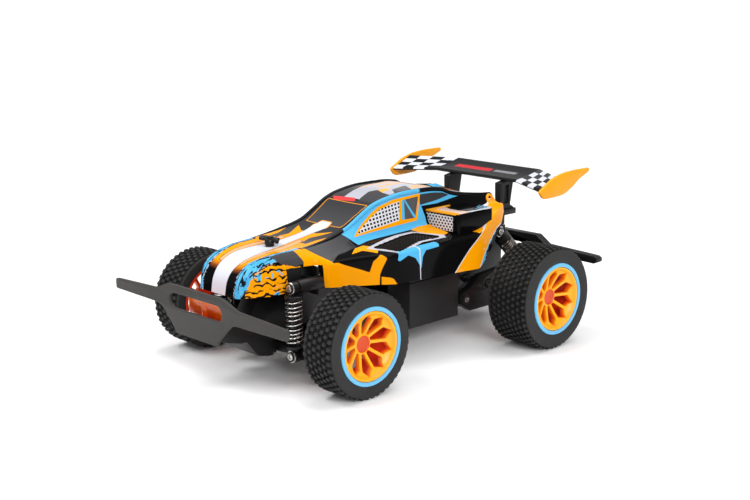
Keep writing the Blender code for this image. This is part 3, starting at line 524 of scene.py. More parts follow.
def spun(profile, start, direction, sides=40):
    """A (radius, distance) profile turned about the line from start in a direction."""
    axis = np.asarray(Vector(direction).normalized())
    side = np.asarray(Vector(direction).orthogonal().normalized())
    other = np.cross(axis, side)
    base = np.asarray(start, float)
    n = len(profile)
    points = []
    for k in range(sides):
        angle = 2 * math.pi * k / sides
        ring = math.cos(angle) * side + math.sin(angle) * other
        points += [base + axis * d + ring * r for r, d in profile]
    faces = []
    for k in range(sides):
        a, b = k * n, (k + 1) % sides * n
        for i in range(n):
            j = (i + 1) % n
            faces.append((a + i, b + i, b + j, a + j))
    mesh = from_arrays(points, faces)
    bm = bmesh.new()
    bm.from_mesh(mesh)
    bmesh.ops.remove_doubles(bm, verts=bm.verts, dist=0.000001)
    bmesh.ops.dissolve_degenerate(bm, edges=bm.edges, dist=0.000001)
    bmesh.ops.recalc_face_normals(bm, faces=bm.faces)
    bm.to_mesh(mesh)
    bm.free()
    return mesh


def refine(node, paint, bevel=0.3, segments=2, body=None):
    """The CAD node's own shape with softened edges, in its own finish."""
    source = frame["nodes"][node]
    bm = bmesh.new()
    bm.from_mesh(source.data)
    bmesh.ops.remove_doubles(bm, verts=bm.verts, dist=0.000005)
    bmesh.ops.dissolve_limit(bm, angle_limit=math.radians(1.5), verts=bm.verts, edges=bm.edges)
    mesh = bpy.data.meshes.new(node)
    bm.to_mesh(mesh)
    bm.free()
    mesh = bevelled(mesh, bevel, segments, 34)
    return piece(f"fine_{node}", mesh, paint, source["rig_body"], [node])


ORANGE = (0.82, 0.305, 0.0008)
SKY = (0.075, 0.385, 0.66)
BLACK = (0.0030, 0.0030, 0.0034)
GREY = (0.050, 0.050, 0.053)
WHITE = (0.60, 0.61, 0.67)
PEACH = (0.74, 0.38, 0.17)
RED = (0.50, 0.012, 0.02)


# ---------------------------------------------------------------- wheels

def lug_block(radius, centre_d, half_d, half_t, base, top, angle):
    """The eight corners of one tread lug; d runs inwards from the tyre's outer face."""
    corners = []
    for r, share in ((base, 1.0), (top, 0.80)):
        for sd, st in ((-1, -1), (1, -1), (1, 1), (-1, 1)):
            turn = angle + st * half_t * share / radius
            corners.append((centre_d + sd * half_d * share, r * math.cos(turn), r * math.sin(turn)))
    return corners


def tyre(centre, radius, width, towards, around, across, fill):
    casing = radius - 1.45
    edge = radius - 1.0
    profile = [
        (18.3, 0.55), (18.9, 0.25), (20.2, 0.05), (22.6, -0.02), (edge - 0.5, 0.12), (edge, 0.6),
        (edge - 0.1, 1.3), (casing, 1.9), (casing + 0.05, width / 2), (casing, width - 1.9),
        (edge - 0.1, width - 1.3), (edge, width - 0.6), (edge - 0.5, width - 0.12),
        (22.0, width + 0.02), (20.2, width - 0.1), (18.7, width - 0.4), (18.7, width - 2.4),
        (radius - 3.2, width - 3.2), (radius - 3.2, 3.2), (18.7, 2.4),
    ]
    body = lathe(profile, centre, 120, towards)
    x, y, z = centre
    first, last = 2.2, width - 2.2
    pitch = (last - first) / (across - 1)
    points, faces = [], []
    for row in range(across):
        for k in range(around):
            angle = 2 * math.pi * (k + 0.5 * (row % 2)) / around
            d = first + row * pitch
            corners = lug_block(radius, d, fill * pitch, 0.8 * fill * 2 * math.pi * radius / around,
                                casing - 0.3, radius, angle)
            n = len(points)
            points += [(x - c[0] * towards, y + c[1], z + c[2]) for c in corners]
            for face in ((3, 2, 1, 0), (4, 5, 6, 7), (0, 1, 5, 4), (1, 2, 6, 5), (2, 3, 7, 6), (3, 0, 4, 7)):
                faces.append(tuple(n + i for i in face))
    lugs = from_arrays(points, faces)
    bm = bmesh.new()
    bm.from_mesh(lugs)
    bmesh.ops.recalc_face_normals(bm, faces=bm.faces)
    bm.to_mesh(lugs)
    bm.free()
    mesh = joined([body, lugs])
    reach, depth = wheel_places(mesh, centre, towards)
    # points on the tread's floor between the lugs, where the rubber gets painted shade
    tread_gap_shade = (reach < radius - 0.9) & (reach > radius - 2.2) & (depth > 1.7) & (depth < width - 1.7)
    write_values(mesh, "tread_gap_shade", tread_gap_shade)
    return mesh


def rim(centre, width, towards):
    """A dished rim: ten spokes round a hub, with deep windows between them."""
    profile = [
        (0.0, 6.2), (3.5, 6.2), (3.8, 5.8), (4.1, 5.7), (4.8, 6.1), (9.0, 4.6), (13.4, 2.6), (14.8, 1.3),
        (15.2, 0.5), (15.7, 0.2), (16.2, 0.35), (16.4, 1.0), (16.4, 1.9), (18.2, 1.9),
        (18.2, width - 0.8), (16.9, width - 0.8), (16.2, width / 2), (15.6, 6.5), (14.4, 5.4), (9.0, 7.4),
        (5.4, 9.0), (4.4, 9.4), (4.2, width - 2.0), (2.4, width - 2.0), (2.4, 10.6), (0.0, 10.6),
    ]
    body = lathe(profile, centre, 120, towards)
    x, y, z = centre
    shape = rounded([(4.8, -0.85), (4.8, 0.85), (11.8, 3.1), (14.8, 0.0), (11.8, -3.1)], 0.5, 3)
    cutters = []
    for k in range(10):
        angle = 2 * math.pi * (k + 0.5) / 10
        c, s = math.cos(angle), math.sin(angle)
        outline = [(y + r * c - t * s, z + r * s + t * c) for r, t in shape]
        cutters.append(slab(outline, "YZ", sorted((x + 3 * towards, x - 12 * towards))))
    mesh = bevelled(boolean(body, cutters), 0.28, 2, 32)
    reach, depth = wheel_places(mesh, centre, towards)
    face = np.interp(reach, [5.0, 9.0, 13.4, 15.2, 16.4], [6.1, 4.6, 2.6, 0.5, 0.3])
    # depth behind the spokes' faces, turned into painted shade by the rim's paint; the hub's disc gets the deepest
    # value
    behind = np.where(reach < 4.0, 9.0, np.clip(depth - face, 0, 6))
    write_values(mesh, "behind", behind)
    return mesh


def wheel_places(mesh, centre, towards):
    """Each point's distance from the wheel's axis and its depth behind the wheel's outer face."""
    places = np.empty(len(mesh.vertices) * 3, np.float32)
    mesh.vertices.foreach_get("co", places)
    places = places.reshape(-1, 3) / MM + (0, MIDDLE_Y, 0)
    reach = np.hypot(places[:, 1] - centre[1], places[:, 2] - centre[2])
    return reach, (centre[0] - places[:, 0]) * towards


def write_values(mesh, name, values):
    attribute = mesh.attributes.new(name, "FLOAT", "POINT")
    attribute.data.foreach_set("value", np.asarray(values, np.float32))


def wheel(end, side, towards, radius, width, face_x, body, around, across, fill):
    y = -AXLE_Y if end == "front" else AXLE_Y
    centre = (face_x * towards, y, radius)
    tag = f"{end}_{side}"
    piece(f"tread_{tag}", tyre(centre, radius, width, towards, around, across, fill), RUBBER, body,
          [f"tyre_{tag}"])
    piece(f"spoked_rim_{tag}", rim(centre, width, towards), RIM_ORANGE, body, [f"rim_{tag}"])
    ring = [(16.45, 0.35), (16.6, 0.02), (17.4, -0.1), (18.3, 0.05), (18.45, 0.4), (18.4, 1.3), (16.5, 1.3)]
    piece(f"trim_ring_{tag}", lathe(ring, centre, 120, towards), RING_BLUE, body,
          [f"bead_ring_{tag}"])


# ---------------------------------------------------------------- shocks and screws

def screw_head(start, direction, radius=2.0):
    """A pan head with its cross recess, standing on start."""
    dome = [(0.0, 1.15), (radius * 0.45, 1.08), (radius * 0.8, 0.85), (radius, 0.35), (radius, 0.0), (0.0, 0.0)]
    head = spun(dome, start, direction, 32)
    axis = Vector(direction).normalized()
    side = axis.orthogonal().normalized()
    middle = at(*start) + axis * 1.1 * MM
    cutters = []
    for turn in (0.5, 0.5 + math.pi / 2):
        bm = bmesh.new()
        bmesh.ops.create_cube(bm, size=1.0)
        along = (Matrix.Rotation(turn, 3, axis) @ side).normalized()
        frame3 = Matrix((along, axis.cross(along), axis)).transposed().to_4x4()
        size = Matrix.Diagonal((radius * 1.25 * MM, 0.42 * MM, 1.2 * MM, 1))
        bmesh.ops.transform(bm, matrix=Matrix.Translation(middle) @ frame3 @ size, verts=bm.verts)
        mesh = bpy.data.meshes.new("slot")
        bm.to_mesh(mesh)
        bm.free()
        cutters.append(mesh)
    return boolean(head, cutters)


def washer(start, direction, radius=2.75):
    ring = [(1.2, 0.0), (1.2, 0.4), (radius - 0.15, 0.4), (radius, 0.25), (radius, 0.0)]
    return spun(ring, start, direction, 40)


def helix(top, foot, first, last, turns, radius, eye, steps=26):
    top, foot = np.array(top, float), np.array(foot, float)
    along = (foot - top) / np.linalg.norm(foot - top)
    eye = np.array(eye, float)
    side = np.cross(along, eye)
    count = int(turns * steps)
    places = []
    for k in range(count + 1):
        share = k / count
        eased = share + 0.028 * math.sin(4 * math.pi * share) * 0.5
        angle = 2 * math.pi * turns * share
        ring = eye * math.cos(angle) + side * math.sin(angle)
        places.append(top + along * (first + (last - first) * eased) + ring * radius)
    return places


def shock(tag, side_x, top, foot, eye, barrel_end, rod_top, turns, wire, ribs, body, rod_body, coil_paint):
    """One damper: its barrel and cap, its rod and cup, and the coil."""
    top, foot = np.array(top, float), np.array(foot, float)
    length = np.linalg.norm(foot - top)
    along = (foot - top) / length
    eye = np.array(eye, float)

    def lengthwise(profile):
        return spun(profile, top, tuple(along), 48)

    cap = [(0.0, 2.6), (1.7, 2.6), (2.6, 3.2), (3.9, 3.5), (4.3, 3.8)]
    for k in range(ribs):
        d = 4.1 + k * 0.85
        cap += [(4.3, d), (4.05, d + 0.15), (4.05, d + 0.4), (4.3, d + 0.55)]
    end = 3.95 + 0.85 * ribs
    cap += [(4.3, end), (4.0, end + 0.3), (2.6, end + 0.4), (2.6, barrel_end - 0.3), (2.3, barrel_end), (0.0, barrel_end)]
    upper = [lengthwise(cap), spun([(1.45, 0.0), (1.45, 3.2), (2.7, 3.2), (3.0, 2.9), (3.0, 0.3), (2.7, 0.0)],
                                   top - eye * 1.6, tuple(eye), 40)]
    upper.append(lengthwise([(0.0, 1.7), (1.5, 1.7), (1.5, 3.4), (0.0, 3.4)]))
    piece(f"damper_body_{tag}", joined(upper), SHOCK_BLACK, body, [f"shock_body_{tag}"])
    cup = [(0.0, length - 5.4), (3.2, length - 5.4), (3.9, length - 5.3), (4.3, length - 4.9), (4.3, length - 4.2),
           (3.8, length - 3.8), (2.2, length - 3.4), (1.6, length - 1.8), (0.0, length - 1.8)]
    rod = [(0.0, rod_top), (1.05, rod_top), (1.05, length - 5), (0.0, length - 5)]
    lower = [lengthwise(cup), lengthwise(rod),
             spun([(1.45, 0.0), (1.45, 3.2), (2.7, 3.2), (3.0, 2.9), (3.0, 0.3), (2.7, 0.0)],
                  foot - eye * 1.6, tuple(eye), 40)]
    piece(f"damper_rod_{tag}", joined(lower), SHOCK_BLACK, rod_body, [f"shock_rod_{tag}"])
    first, last = end + 0.4 + wire, length - 5.5 - wire
    coil = piece(f"coil_{tag}", sweep(helix(top, foot, first, last, turns, 3.85, eye), wire, 10), coil_paint,
                 body, [f"spring_{tag}"], smooth=0)
    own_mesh(coil)


def fastener(name, start, direction, body, radius=2.1, ring=2.95):
    meshes = [washer(start, direction, ring), screw_head(tuple(np.array(start) + 0.35 * np.array(direction)), direction, radius)]
    piece(name, joined(meshes), SCREW_STEEL, body, smooth=30)


# ---------------------------------------------------------------- bumpers

def build_bumpers():
    half = [(20.6, 47.4), (31.1, 43.5), (65.2, 42.1), (65.2, 37.0), (30, 36.6), (26, 35.4), (17, 27), (15.6, 24.2)]
    shield = half + [(-x, z) for x, z in reversed(half)]
    ends = [(16.4 + 3.7 * math.cos(a), 39.8 + 3.7 * math.sin(a)) for a in np.linspace(-math.pi / 2, math.pi / 2, 13)]
    slot = ends + [(-x, z) for x, z in reversed(ends)]
    plate = slab(rounded(shield, 1.2), "XZ", (-108.0, -106.2), holes=[slot], bevel=0.3)
    parts = [plate]
    for side in (-1, 1):
        parts.append(block(sorted((side * 31.2, side * 60)), (-107.4, -101.5), (37.2, 38.8), 0.35))
    piece("front_bumper_plate", joined(parts), BUMPER_GREY, replaces=["front_bumper"])
    brace = [block((-13, 13), (-102.4, -97), (33.5, 42.6), 1.2),
             spun([(0.0, 0.0), (2.0, 0.0), (2.4, 0.4), (2.4, 11.6), (2.0, 12.0), (0.0, 12.0)], (0, -101, 31.4), (0, 0, 1))]
    piece("bumper_brace_block", joined(brace), BRACE_ORANGE, replaces=["bumper_brace"])
    refine("rear_bumper", FRAME_BLACK, 0.5, 3)


# ---------------------------------------------------------------- wing

def build_wing():
    """The plane's print is squares of its own UV map: two outer panels and a dark middle."""
    stations = [(-53.2, 73.4, 77.6, 87.4, 83.4), (-29.2, 83.4, 78.7, 104.8, 82.4), (0, 83.4, 78.7, 104.8, 82.4),
                (29.2, 83.4, 78.7, 104.8, 82.4), (53.2, 73.4, 77.6, 87.4, 83.4)]
    xs = np.unique(np.concatenate([np.linspace(a[0], b[0], 25) for a, b in zip(stations, stations[1:])]))
    table = np.array(stations, float)
    across = 28
    thick = 1.6
    profile = []
    for k in range(across + 1):
        t = k / across
        half = 0.5 * thick * min(1.0, math.sqrt(max(0.0, 1 - (1 - min(t, 1 - t) / 0.04) ** 2)) if min(t, 1 - t) < 0.04 else 1.0)
        profile.append((t, half))
    loop = [(t, h) for t, h in profile] + [(t, -h) for t, h in reversed(profile[1:-1])]
    points, uvs = [], []
    for x in xs:
        fy, fz, ry, rz = (np.interp(x, table[:, 0], table[:, c]) for c in (1, 2, 3, 4))
        for t, h in loop:
            sag = -0.5 * math.sin(math.pi * t)
            points.append((x, fy + (ry - fy) * t, fz + (rz - fz) * t + sag - thick / 2 + h))
            uvs.append((x, t))
    n = len(loop)
    faces = []
    for i in range(len(xs) - 1):
        for k in range(n):
            m = (k + 1) % n
            faces.append((i * n + k, i * n + m, (i + 1) * n + m, (i + 1) * n + k))
    faces.append(tuple(reversed(range(n))))
    faces.append(tuple(range((len(xs) - 1) * n, len(xs) * n)))
    mesh = from_arrays(points, faces)
    layer = mesh.uv_layers.new(name="print")
    for corner in mesh.loops:
        x, t = uvs[corner.vertex_index]
        layer.data[corner.index].uv = (x / 6.0, t * 4.0)
    bm = bmesh.new()
    bm.from_mesh(mesh)
    bmesh.ops.recalc_face_normals(bm, faces=bm.faces)
    bm.to_mesh(mesh)
    bm.free()
    piece("wing_board", mesh, wing_print(), replaces=["wing_plane"], smooth=60)
    fin = [(71.6, 76.5), (75.6, 72.3), (84, 72.3), (93, 72.8), (100, 76), (106, 79.8), (113.6, 82.6), (114.5, 83.6),
           (113.6, 84.8), (103, 84.9), (96, 84.7), (90, 84.1), (82, 82), (76, 78.8)]
    for side, towards in SIDES:
        between = sorted((53.6 * towards, 55.4 * towards))
        piece(f"wing_fin_{side}", slab(rounded(fin, 2.2), "YZ", between, bevel=0.5), FIN_ORANGE,
              replaces=[f"wing_endplate_{side}"])
        refine(f"wing_post_{side}", POST_BLACK, 0.35, 3)


def wing_print():
    made = Paint("wing_print", (0.010, 0.010, 0.011), 0.30, specular=0.08)
    uv = made.node("ShaderNodeUVMap", uv_map="print").outputs["UV"]
    checker = made.node("ShaderNodeTexChecker")
    made.put(uv, checker.inputs["Vector"])
    checker.inputs["Scale"].default_value = 1.0
    parts = made.node("ShaderNodeSeparateXYZ")
    made.put(uv, parts.inputs[0])
    reach = made.math("ABSOLUTE", parts.outputs["X"])
    outer = made.math("GREATER_THAN", reach, 5.0)
    normal = made.node("ShaderNodeSeparateXYZ")
    made.put(made.node("ShaderNodeNewGeometry").outputs["Normal"], normal.inputs[0])
    above = made.math("GREATER_THAN", normal.outputs["Z"], 0.3)
    dark = made.mix(made.math("LESS_THAN", reach, 5.0), (0.007, 0.007, 0.008), (0.010, 0.010, 0.011))
    squares = made.math("MULTIPLY", made.math("MULTIPLY", outer, above), checker.outputs["Fac"])
    colour = made.mix(squares, dark, WHITE)
    band = made.math("COMPARE", parts.outputs["X"], -1.55, 2.2)
    line = made.math("COMPARE", parts.outputs["Y"], 1.9, 0.42)
    mark = made.math("MULTIPLY", made.math("MULTIPLY", band, line), above)
    colour = made.mix(mark, colour, RED)
    band = made.math("COMPARE", parts.outputs["X"], 2.3, 1.3)
    mark = made.math("MULTIPLY", made.math("MULTIPLY", band, made.math("COMPARE", parts.outputs["Y"], 1.9, 0.3)), above)
    colour = made.mix(mark, colour, (0.20, 0.20, 0.22))
    made.mottle(120, 0.06, 0.05, 0.000012, 1500, colour=colour)
    return made.material


# ---------------------------------------------------------------- body shell

BODY_ROWS = [
    # y and z of the centre line, then x, y, z of the ridge, shoulder, flank and sill
    ((-94.4, 43.6), (13.0, -94.6, 43.6), (14.6, -94.0, 43.6), (15.2, -93.0, 43.6), (15.8, -91.8, 43.6)),
    ((-93.4, 49.0), (14.0, -93.6, 49.5), (15.6, -92.6, 48.2), (16.8, -90.6, 46.3), (17.6, -88.8, 43.6)),
    ((-90.8, 53.8), (14.8, -91.2, 54.6), (17.0, -89.6, 52.2), (18.4, -87.4, 48.0), (19.2, -86.0, 43.6)),
    ((-86.0, 57.4), (15.8, -86.6, 58.4), (19.0, -85.0, 55.0), (20.4, -83.4, 49.0), (21.4, -82.8, 43.6)),
    ((-79.6, 59.6), (17.0, -80.0, 60.4), (20.2, -79.6, 56.2), (21.3, -79.0, 49.8), (22.0, -78.6, 43.7)),
    ((-72.0, 60.7), (17.8, -72.0, 61.6), (21.2, -72.0, 57.4), (22.0, -72.0, 50.4), (22.6, -72.0, 43.8)),
    ((-64.0, 61.2), (18.6, -64.0, 62.0), (22.6, -64.0, 57.6), (23.4, -64.0, 50.8), (24.0, -64.0, 44.0)),
    ((-56.5, 61.8), (19.0, -56.5, 62.4), (24.6, -56.5, 57.6), (25.4, -56.5, 51.0), (26.0, -56.5, 44.2)),
    ((-51.5, 62.4), (18.8, -51.5, 62.8), (27.5, -51.5, 57.8), (31.2, -51.5, 56.2), (31.6, -51.5, 44.3)),
    ((-40.0, 64.1), (18.0, -40.0, 64.2), (27.5, -40.0, 59.0), (34.8, -40.0, 56.8), (35.2, -40.0, 43.6)),
    ((-29.0, 66.6), (16.8, -29.0, 67.0), (24.6, -29.0, 60.4), (38.8, -29.0, 57.2), (39.4, -29.0, 43.0)),
    ((-20.0, 71.2), (16.6, -20.0, 71.6), (22.0, -20.0, 61.0), (43.0, -20.0, 57.4), (43.8, -20.0, 42.6)),
    ((-12.0, 75.6), (16.8, -12.0, 75.8), (21.6, -12.0, 61.2), (44.0, -12.0, 57.6), (44.6, -12.0, 42.4)),
    ((-4.0, 78.1), (17.2, -4.0, 78.0), (21.6, -4.0, 61.4), (44.2, -4.0, 57.8), (44.8, -4.0, 42.2)),
    ((12.0, 80.2), (17.4, 12.0, 79.7), (21.8, 12.0, 61.8), (44.2, 12.0, 58.0), (44.8, 12.0, 41.6)),
    ((27.0, 80.0), (17.4, 27.0, 79.5), (22.2, 27.0, 62.0), (44.0, 27.0, 58.2), (44.6, 27.0, 40.8)),
    ((38.0, 78.6), (17.2, 38.0, 78.2), (22.6, 38.0, 62.4), (43.4, 38.0, 58.6), (44.0, 38.0, 40.2)),
    ((44.0, 76.0), (17.8, 44.0, 75.8), (23.0, 44.0, 63.2), (42.4, 44.0, 59.6), (43.0, 44.0, 43.4)),
    ((51.0, 72.8), (18.8, 51.0, 74.2), (23.6, 51.0, 66.6), (40.4, 51.0, 62.2), (41.0, 51.0, 48.0)),
    ((61.0, 71.0), (20.0, 61.0, 73.4), (24.4, 61.0, 67.2), (36.4, 61.0, 66.0), (38.0, 61.0, 57.0)),
    ((74.0, 69.8), (20.6, 73.6, 72.6), (25.0, 73.2, 67.4), (30.4, 72.4, 67.6), (31.8, 71.6, 63.4)),
]


def monotone(knots, values, places):
    """Smooth curve through the knots without overshoot, one column of values at a time."""
    step = np.diff(knots)
    slope = np.diff(values, axis=0) / step[:, None]
    tangent = np.zeros_like(values)
    tangent[0], tangent[-1] = slope[0], slope[-1]
    for k in range(1, len(knots) - 1):
        before, after = slope[k - 1], slope[k]
        w1, w2 = 2 * step[k] + step[k - 1], step[k] + 2 * step[k - 1]
        same = before * after > 0
        safe = np.where(same, before * after, 1.0)
        tangent[k] = np.where(same, (w1 + w2) * safe / (w1 * after + w2 * before + (~same)), 0.0)
    index = np.clip(np.searchsorted(knots, places) - 1, 0, len(knots) - 2)
    h = step[index]
    t = ((places - knots[index]) / h)[:, None]
    h = h[:, None]
    return (
        (2 * t**3 - 3 * t**2 + 1) * values[index] + (t**3 - 2 * t**2 + t) * h * tangent[index]
        + (-2 * t**3 + 3 * t**2) * values[index + 1] + (t**3 - t**2) * h * tangent[index + 1]
    )


def body_rails():
    """The five lines that run along the left half of the shell, finely sampled."""
    table = np.array([[0.0, y, z, *sum(rails, ())] for (y, z), *rails in BODY_ROWS])
    centre = table[:, :3]
    knots = np.concatenate([[0], np.cumsum(np.linalg.norm(np.diff(centre, axis=0), axis=1))])
    places = np.linspace(0, knots[-1], 250)
    return monotone(knots, table, places).reshape(len(places), 5, 3)


CUTS = (2.0, 2.6, 1.4)  # how far each long corner is rounded
SPANS = (16, 22, 24, 22)  # samples between the corners
BEND = 6  # samples round a corner


def section(rails):
    """One cross-section of the left half, as (zone coordinate, point); a zone lies between two rails."""
    made = []
    lengths = [np.linalg.norm(b - a) for a, b in zip(rails, rails[1:])]
    cuts = [0.0] + [min(c, 0.4 * lengths[k], 0.4 * lengths[k + 1]) for k, c in enumerate(CUTS)] + [0.0]
    for zone in range(4):
        a, b, length = rails[zone], rails[zone + 1], lengths[zone]
        first, last = cuts[zone] / length, 1 - cuts[zone + 1] / length
        for t in np.linspace(first, last, SPANS[zone]):
            place = a + (b - a) * t
            if zone == 0:
                place = np.array((place[0], a[1] + (b[1] - a[1]) * t * t, a[2] + (b[2] - a[2]) * t * t))
            made.append((zone + t, place))
        if zone < 3:
            start = a + (b - a) * last
            if zone == 0:
                start = np.array((start[0], a[1] + (b[1] - a[1]) * last**2, a[2] + (b[2] - a[2]) * last**2))
            after = rails[zone + 2]
            end = b + (after - b) * cuts[zone + 1] / lengths[zone + 1]
            here, there = zone + last, zone + 1 + cuts[zone + 1] / lengths[zone + 1]
            for k in range(1, BEND):
                t = k / BEND
                place = (1 - t) ** 2 * start + 2 * t * (1 - t) * b + t * t * end
                made.append((here + (there - here) * t, place))
    return made


DUCT = [(31.5, -25), (35.8, -21), (41.4, -17.6), (41.6, -15.6), (36.8, 0.8), (37.4, 14.8), (36.4, 16.6), (27.2, 8), (27.2, -2), (29.6, -15)]


def mirror_x(outline):
    return [(-x, y) for x, y in outline]


def body_mesh():
    """The shell as a closed sheet; its UV map keeps each point's zone coordinate."""
    points, zones = [], []
    lines = body_rails()
    for rails in lines:
        half = section(rails)
        row = [(-t, p * (-1, 1, 1)) for t, p in reversed(half[1:])] + half
        points += [p for _, p in row]
        zones += [t for t, _ in row]
    count = len(row)
    faces = []
    for i in range(len(lines) - 1):
        for k in range(count - 1):
            a = i * count + k
            faces.append((a, a + 1, a + count + 1, a + count))
    mesh = from_arrays(points, faces)
    layer = mesh.uv_layers.new(name="zone")
    for corner in mesh.loops:
        layer.data[corner.index].uv = (zones[corner.vertex_index] / 10 + 0.5, 0.5)
    obj = loose(mesh)
    wall = obj.modifiers.new("wall", "SOLIDIFY")
    wall.thickness = 1.1 * MM
    wall.offset = -1
    shell = baked(obj)
    cutters = [spun([(0.0, 0.0), (2.0, 0.0), (2.0, 20.0), (0.0, 20.0)], (0, -63, 50), (0, 0, 1), 24)]
    for sign in (1, -1):
        leaf = rounded(DUCT if sign > 0 else mirror_x(DUCT), 1.4)
        cutters.append(slab(leaf, "XY", (48, 70)))
        cutters.append(block(sorted((19.5 * sign, 40 * sign)), (-70.8, -54.4), (36, 54.8)))
    return boolean(shell, cutters)


def distance_inside(u, v, outline):
    """Signed distance in millimetres to a closed outline, positive inside."""
    corners = np.array(outline, float)
    best = np.full(len(u), 1e9)
    inside = np.zeros(len(u), bool)
    for (au, av), (bu, bv) in zip(corners, np.roll(corners, -1, axis=0)):
        du, dv = bu - au, bv - av
        t = np.clip(((u - au) * du + (v - av) * dv) / (du * du + dv * dv + 1e-12), 0, 1)
        best = np.minimum(best, np.hypot(u - au - t * du, v - av - t * dv))
        crosses = (av > v) != (bv > v)
        inside ^= crosses & (u < au + (v - av) * du / (dv if abs(dv) > 1e-12 else 1e-12))
    return np.where(inside, best, -best)


ZONE_MM = 14.0  # a zone coordinate of 1 in millimetres, near enough for its edges


def lay_print(mesh, layers):
    """Writes one signed distance per print layer onto the mesh's points."""
    count = len(mesh.vertices)
    places = np.empty(count * 3, np.float32)
    mesh.vertices.foreach_get("co", places)
    places = places.reshape(-1, 3) / MM + (0, MIDDLE_Y, 0)
    uv = np.empty(len(mesh.loops) * 2, np.float32)
    mesh.uv_layers["zone"].data.foreach_get("uv", uv)
    owner = np.empty(len(mesh.loops), np.int32)
    mesh.loops.foreach_get("vertex_index", owner)
    zone = np.zeros(count)
    zone[owner] = np.abs(uv.reshape(-1, 2)[:, 0] - 0.5) * 10
    x, y, z = np.abs(places[:, 0]), places[:, 1], places[:, 2]
    for layer in layers:
        best = np.full(count, -9.0)
        for plane, (low, high), outline in layer["shapes"]:
            u, v = {"top": (x, y), "side": (y, z), "plan": (places[:, 0], y)}[plane]
            found = distance_inside(u, v, outline)
            inner = zone - low if low > 0 else np.full(count, 9.0)
            found = np.minimum(found, np.minimum(inner, high - zone) * ZONE_MM)
            best = np.maximum(best, found)
        attribute = mesh.attributes.new(layer["name"], "FLOAT", "POINT")
        attribute.data.foreach_set("value", np.clip(best, -4, 4).astype(np.float32))


def print_material(name, layers):
    made = Paint(name, BLACK, 0.09, specular=0.045)
    torn = made.math("SUBTRACT", made.noise(420, 4.0, (1, 0.45, 1.4), distortion=1.6), 0.5)
    ragged = made.math("MULTIPLY", torn, 9.0)
    colour = made.mix(made.noise(60, 2.0), (0.0022, 0.0022, 0.0025), (0.0042, 0.0042, 0.0046))
    for layer in layers:
        value = made.node("ShaderNodeAttribute", attribute_name=layer["name"]).outputs["Fac"]
        if layer["tear"]:
            value = made.math("MULTIPLY_ADD", ragged, layer["tear"], value)
        if layer["border"]:
            edge, width = layer["border"]
            colour = made.mix(made.ramp(value, -width - 0.07, -width + 0.07), colour, edge)
        paint = layer["paint"](made) if callable(layer["paint"]) else layer["paint"]
        colour = made.mix(made.ramp(value, -0.07, 0.07), colour, paint)
    made.mottle(70, 0.04, 0.04, 0.000008, 700, colour=colour)
    return made.material


def layer(name, paint, *shapes, tear=0.0, border=None):
    return {"name": name, "paint": paint, "shapes": shapes, "tear": tear, "border": border}


def fading_orange(made):
    """Black at the nose's lip, through a burnt tone, to orange on the hood."""
    _, y, _ = made.axes()
    burnt = made.mix(made.ramp(y, -91.0, -89.0), BLACK, (0.30, 0.07, 0.012))
    return made.mix(made.ramp(y, -89.5, -86.5), burnt, ORANGE)


def brushed_blue(made):
    """Sky blue with dry black brush strokes along the car."""
    strokes = made.noise(330, 5.0, (1.5, 0.30, 0.42), distortion=1.0)
    colour = made.mix(made.ramp(strokes, 0.40, 0.62), (0.11, 0.46, 0.72), (0.045, 0.32, 0.62))
    bare = made.noise(360, 4.0, (1.7, 0.36, 0.46), distortion=1.2)
    return made.mix(made.ramp(bare, 0.535, 0.56), colour, (0.008, 0.010, 0.014))


def clawed_orange(made):
    """Orange with curved black scratches and worn blue patches."""
    wave = made.node("ShaderNodeTexWave", wave_type="BANDS", bands_direction="Z")
    made.put(made.where, wave.inputs["Vector"])
    wave.inputs["Scale"].default_value = 118
    wave.inputs["Distortion"].default_value = 12.0
    wave.inputs["Detail"].default_value = 2.0
    wave.inputs["Detail Scale"].default_value = 1.3
    broken = made.noise(330, 3.0, (1, 0.6, 1))
    scratch = made.math("MULTIPLY", made.ramp(wave.outputs["Fac"], 0.70, 0.76), made.ramp(broken, 0.42, 0.47))
    patches = made.ramp(made.noise(210, 4.0, distortion=1.0), 0.575, 0.59)
    colour = made.mix(patches, ORANGE, SKY)
    return made.mix(scratch, colour, (0.006, 0.006, 0.007))


def lattice(made, pitch_y, pitch_z, slope, size):
    """1 inside the dark squares of a net that lies along the cabin's side."""
    _, y, z = made.axes()
    cells = []
    for value, pitch in ((y, pitch_y), (made.math("MULTIPLY_ADD", y, -slope, z), pitch_z)):
        cell = made.math("FRACT", made.math("DIVIDE", value, pitch))
        cells.append(made.math("ABSOLUTE", made.math("SUBTRACT", cell, 0.5)))
    far = made.math("MAXIMUM", *cells)
    return made.ramp(far, size + 0.03, size - 0.03)


def window_net(made):
    return made.mix(lattice(made, 2.2, 1.75, 0.11, 0.30), (0.62, 0.62, 0.65), (0.012, 0.012, 0.016))


def smoked(made):
    """Dark grey glass print, a little lighter towards its foot."""
    _, y, _ = made.axes()
    return made.mix(made.ramp(y, -31.0, -10.0), (0.068, 0.068, 0.072), (0.030, 0.030, 0.033))


def shaded_grey(made):
    _, y, _ = made.axes()
    return made.mix(made.ramp(y, -58.0, -33.0), (0.085, 0.085, 0.088), (0.035, 0.035, 0.038))


def orange_with_painted_highlights(made):
    """Orange with peach patches from brushed noise: painted highlights."""
    light = made.noise(90, 4.0, (1, 0.5, 1.6), distortion=1.5)
    return made.mix(made.ramp(light, 0.58, 0.74), ORANGE, PEACH)


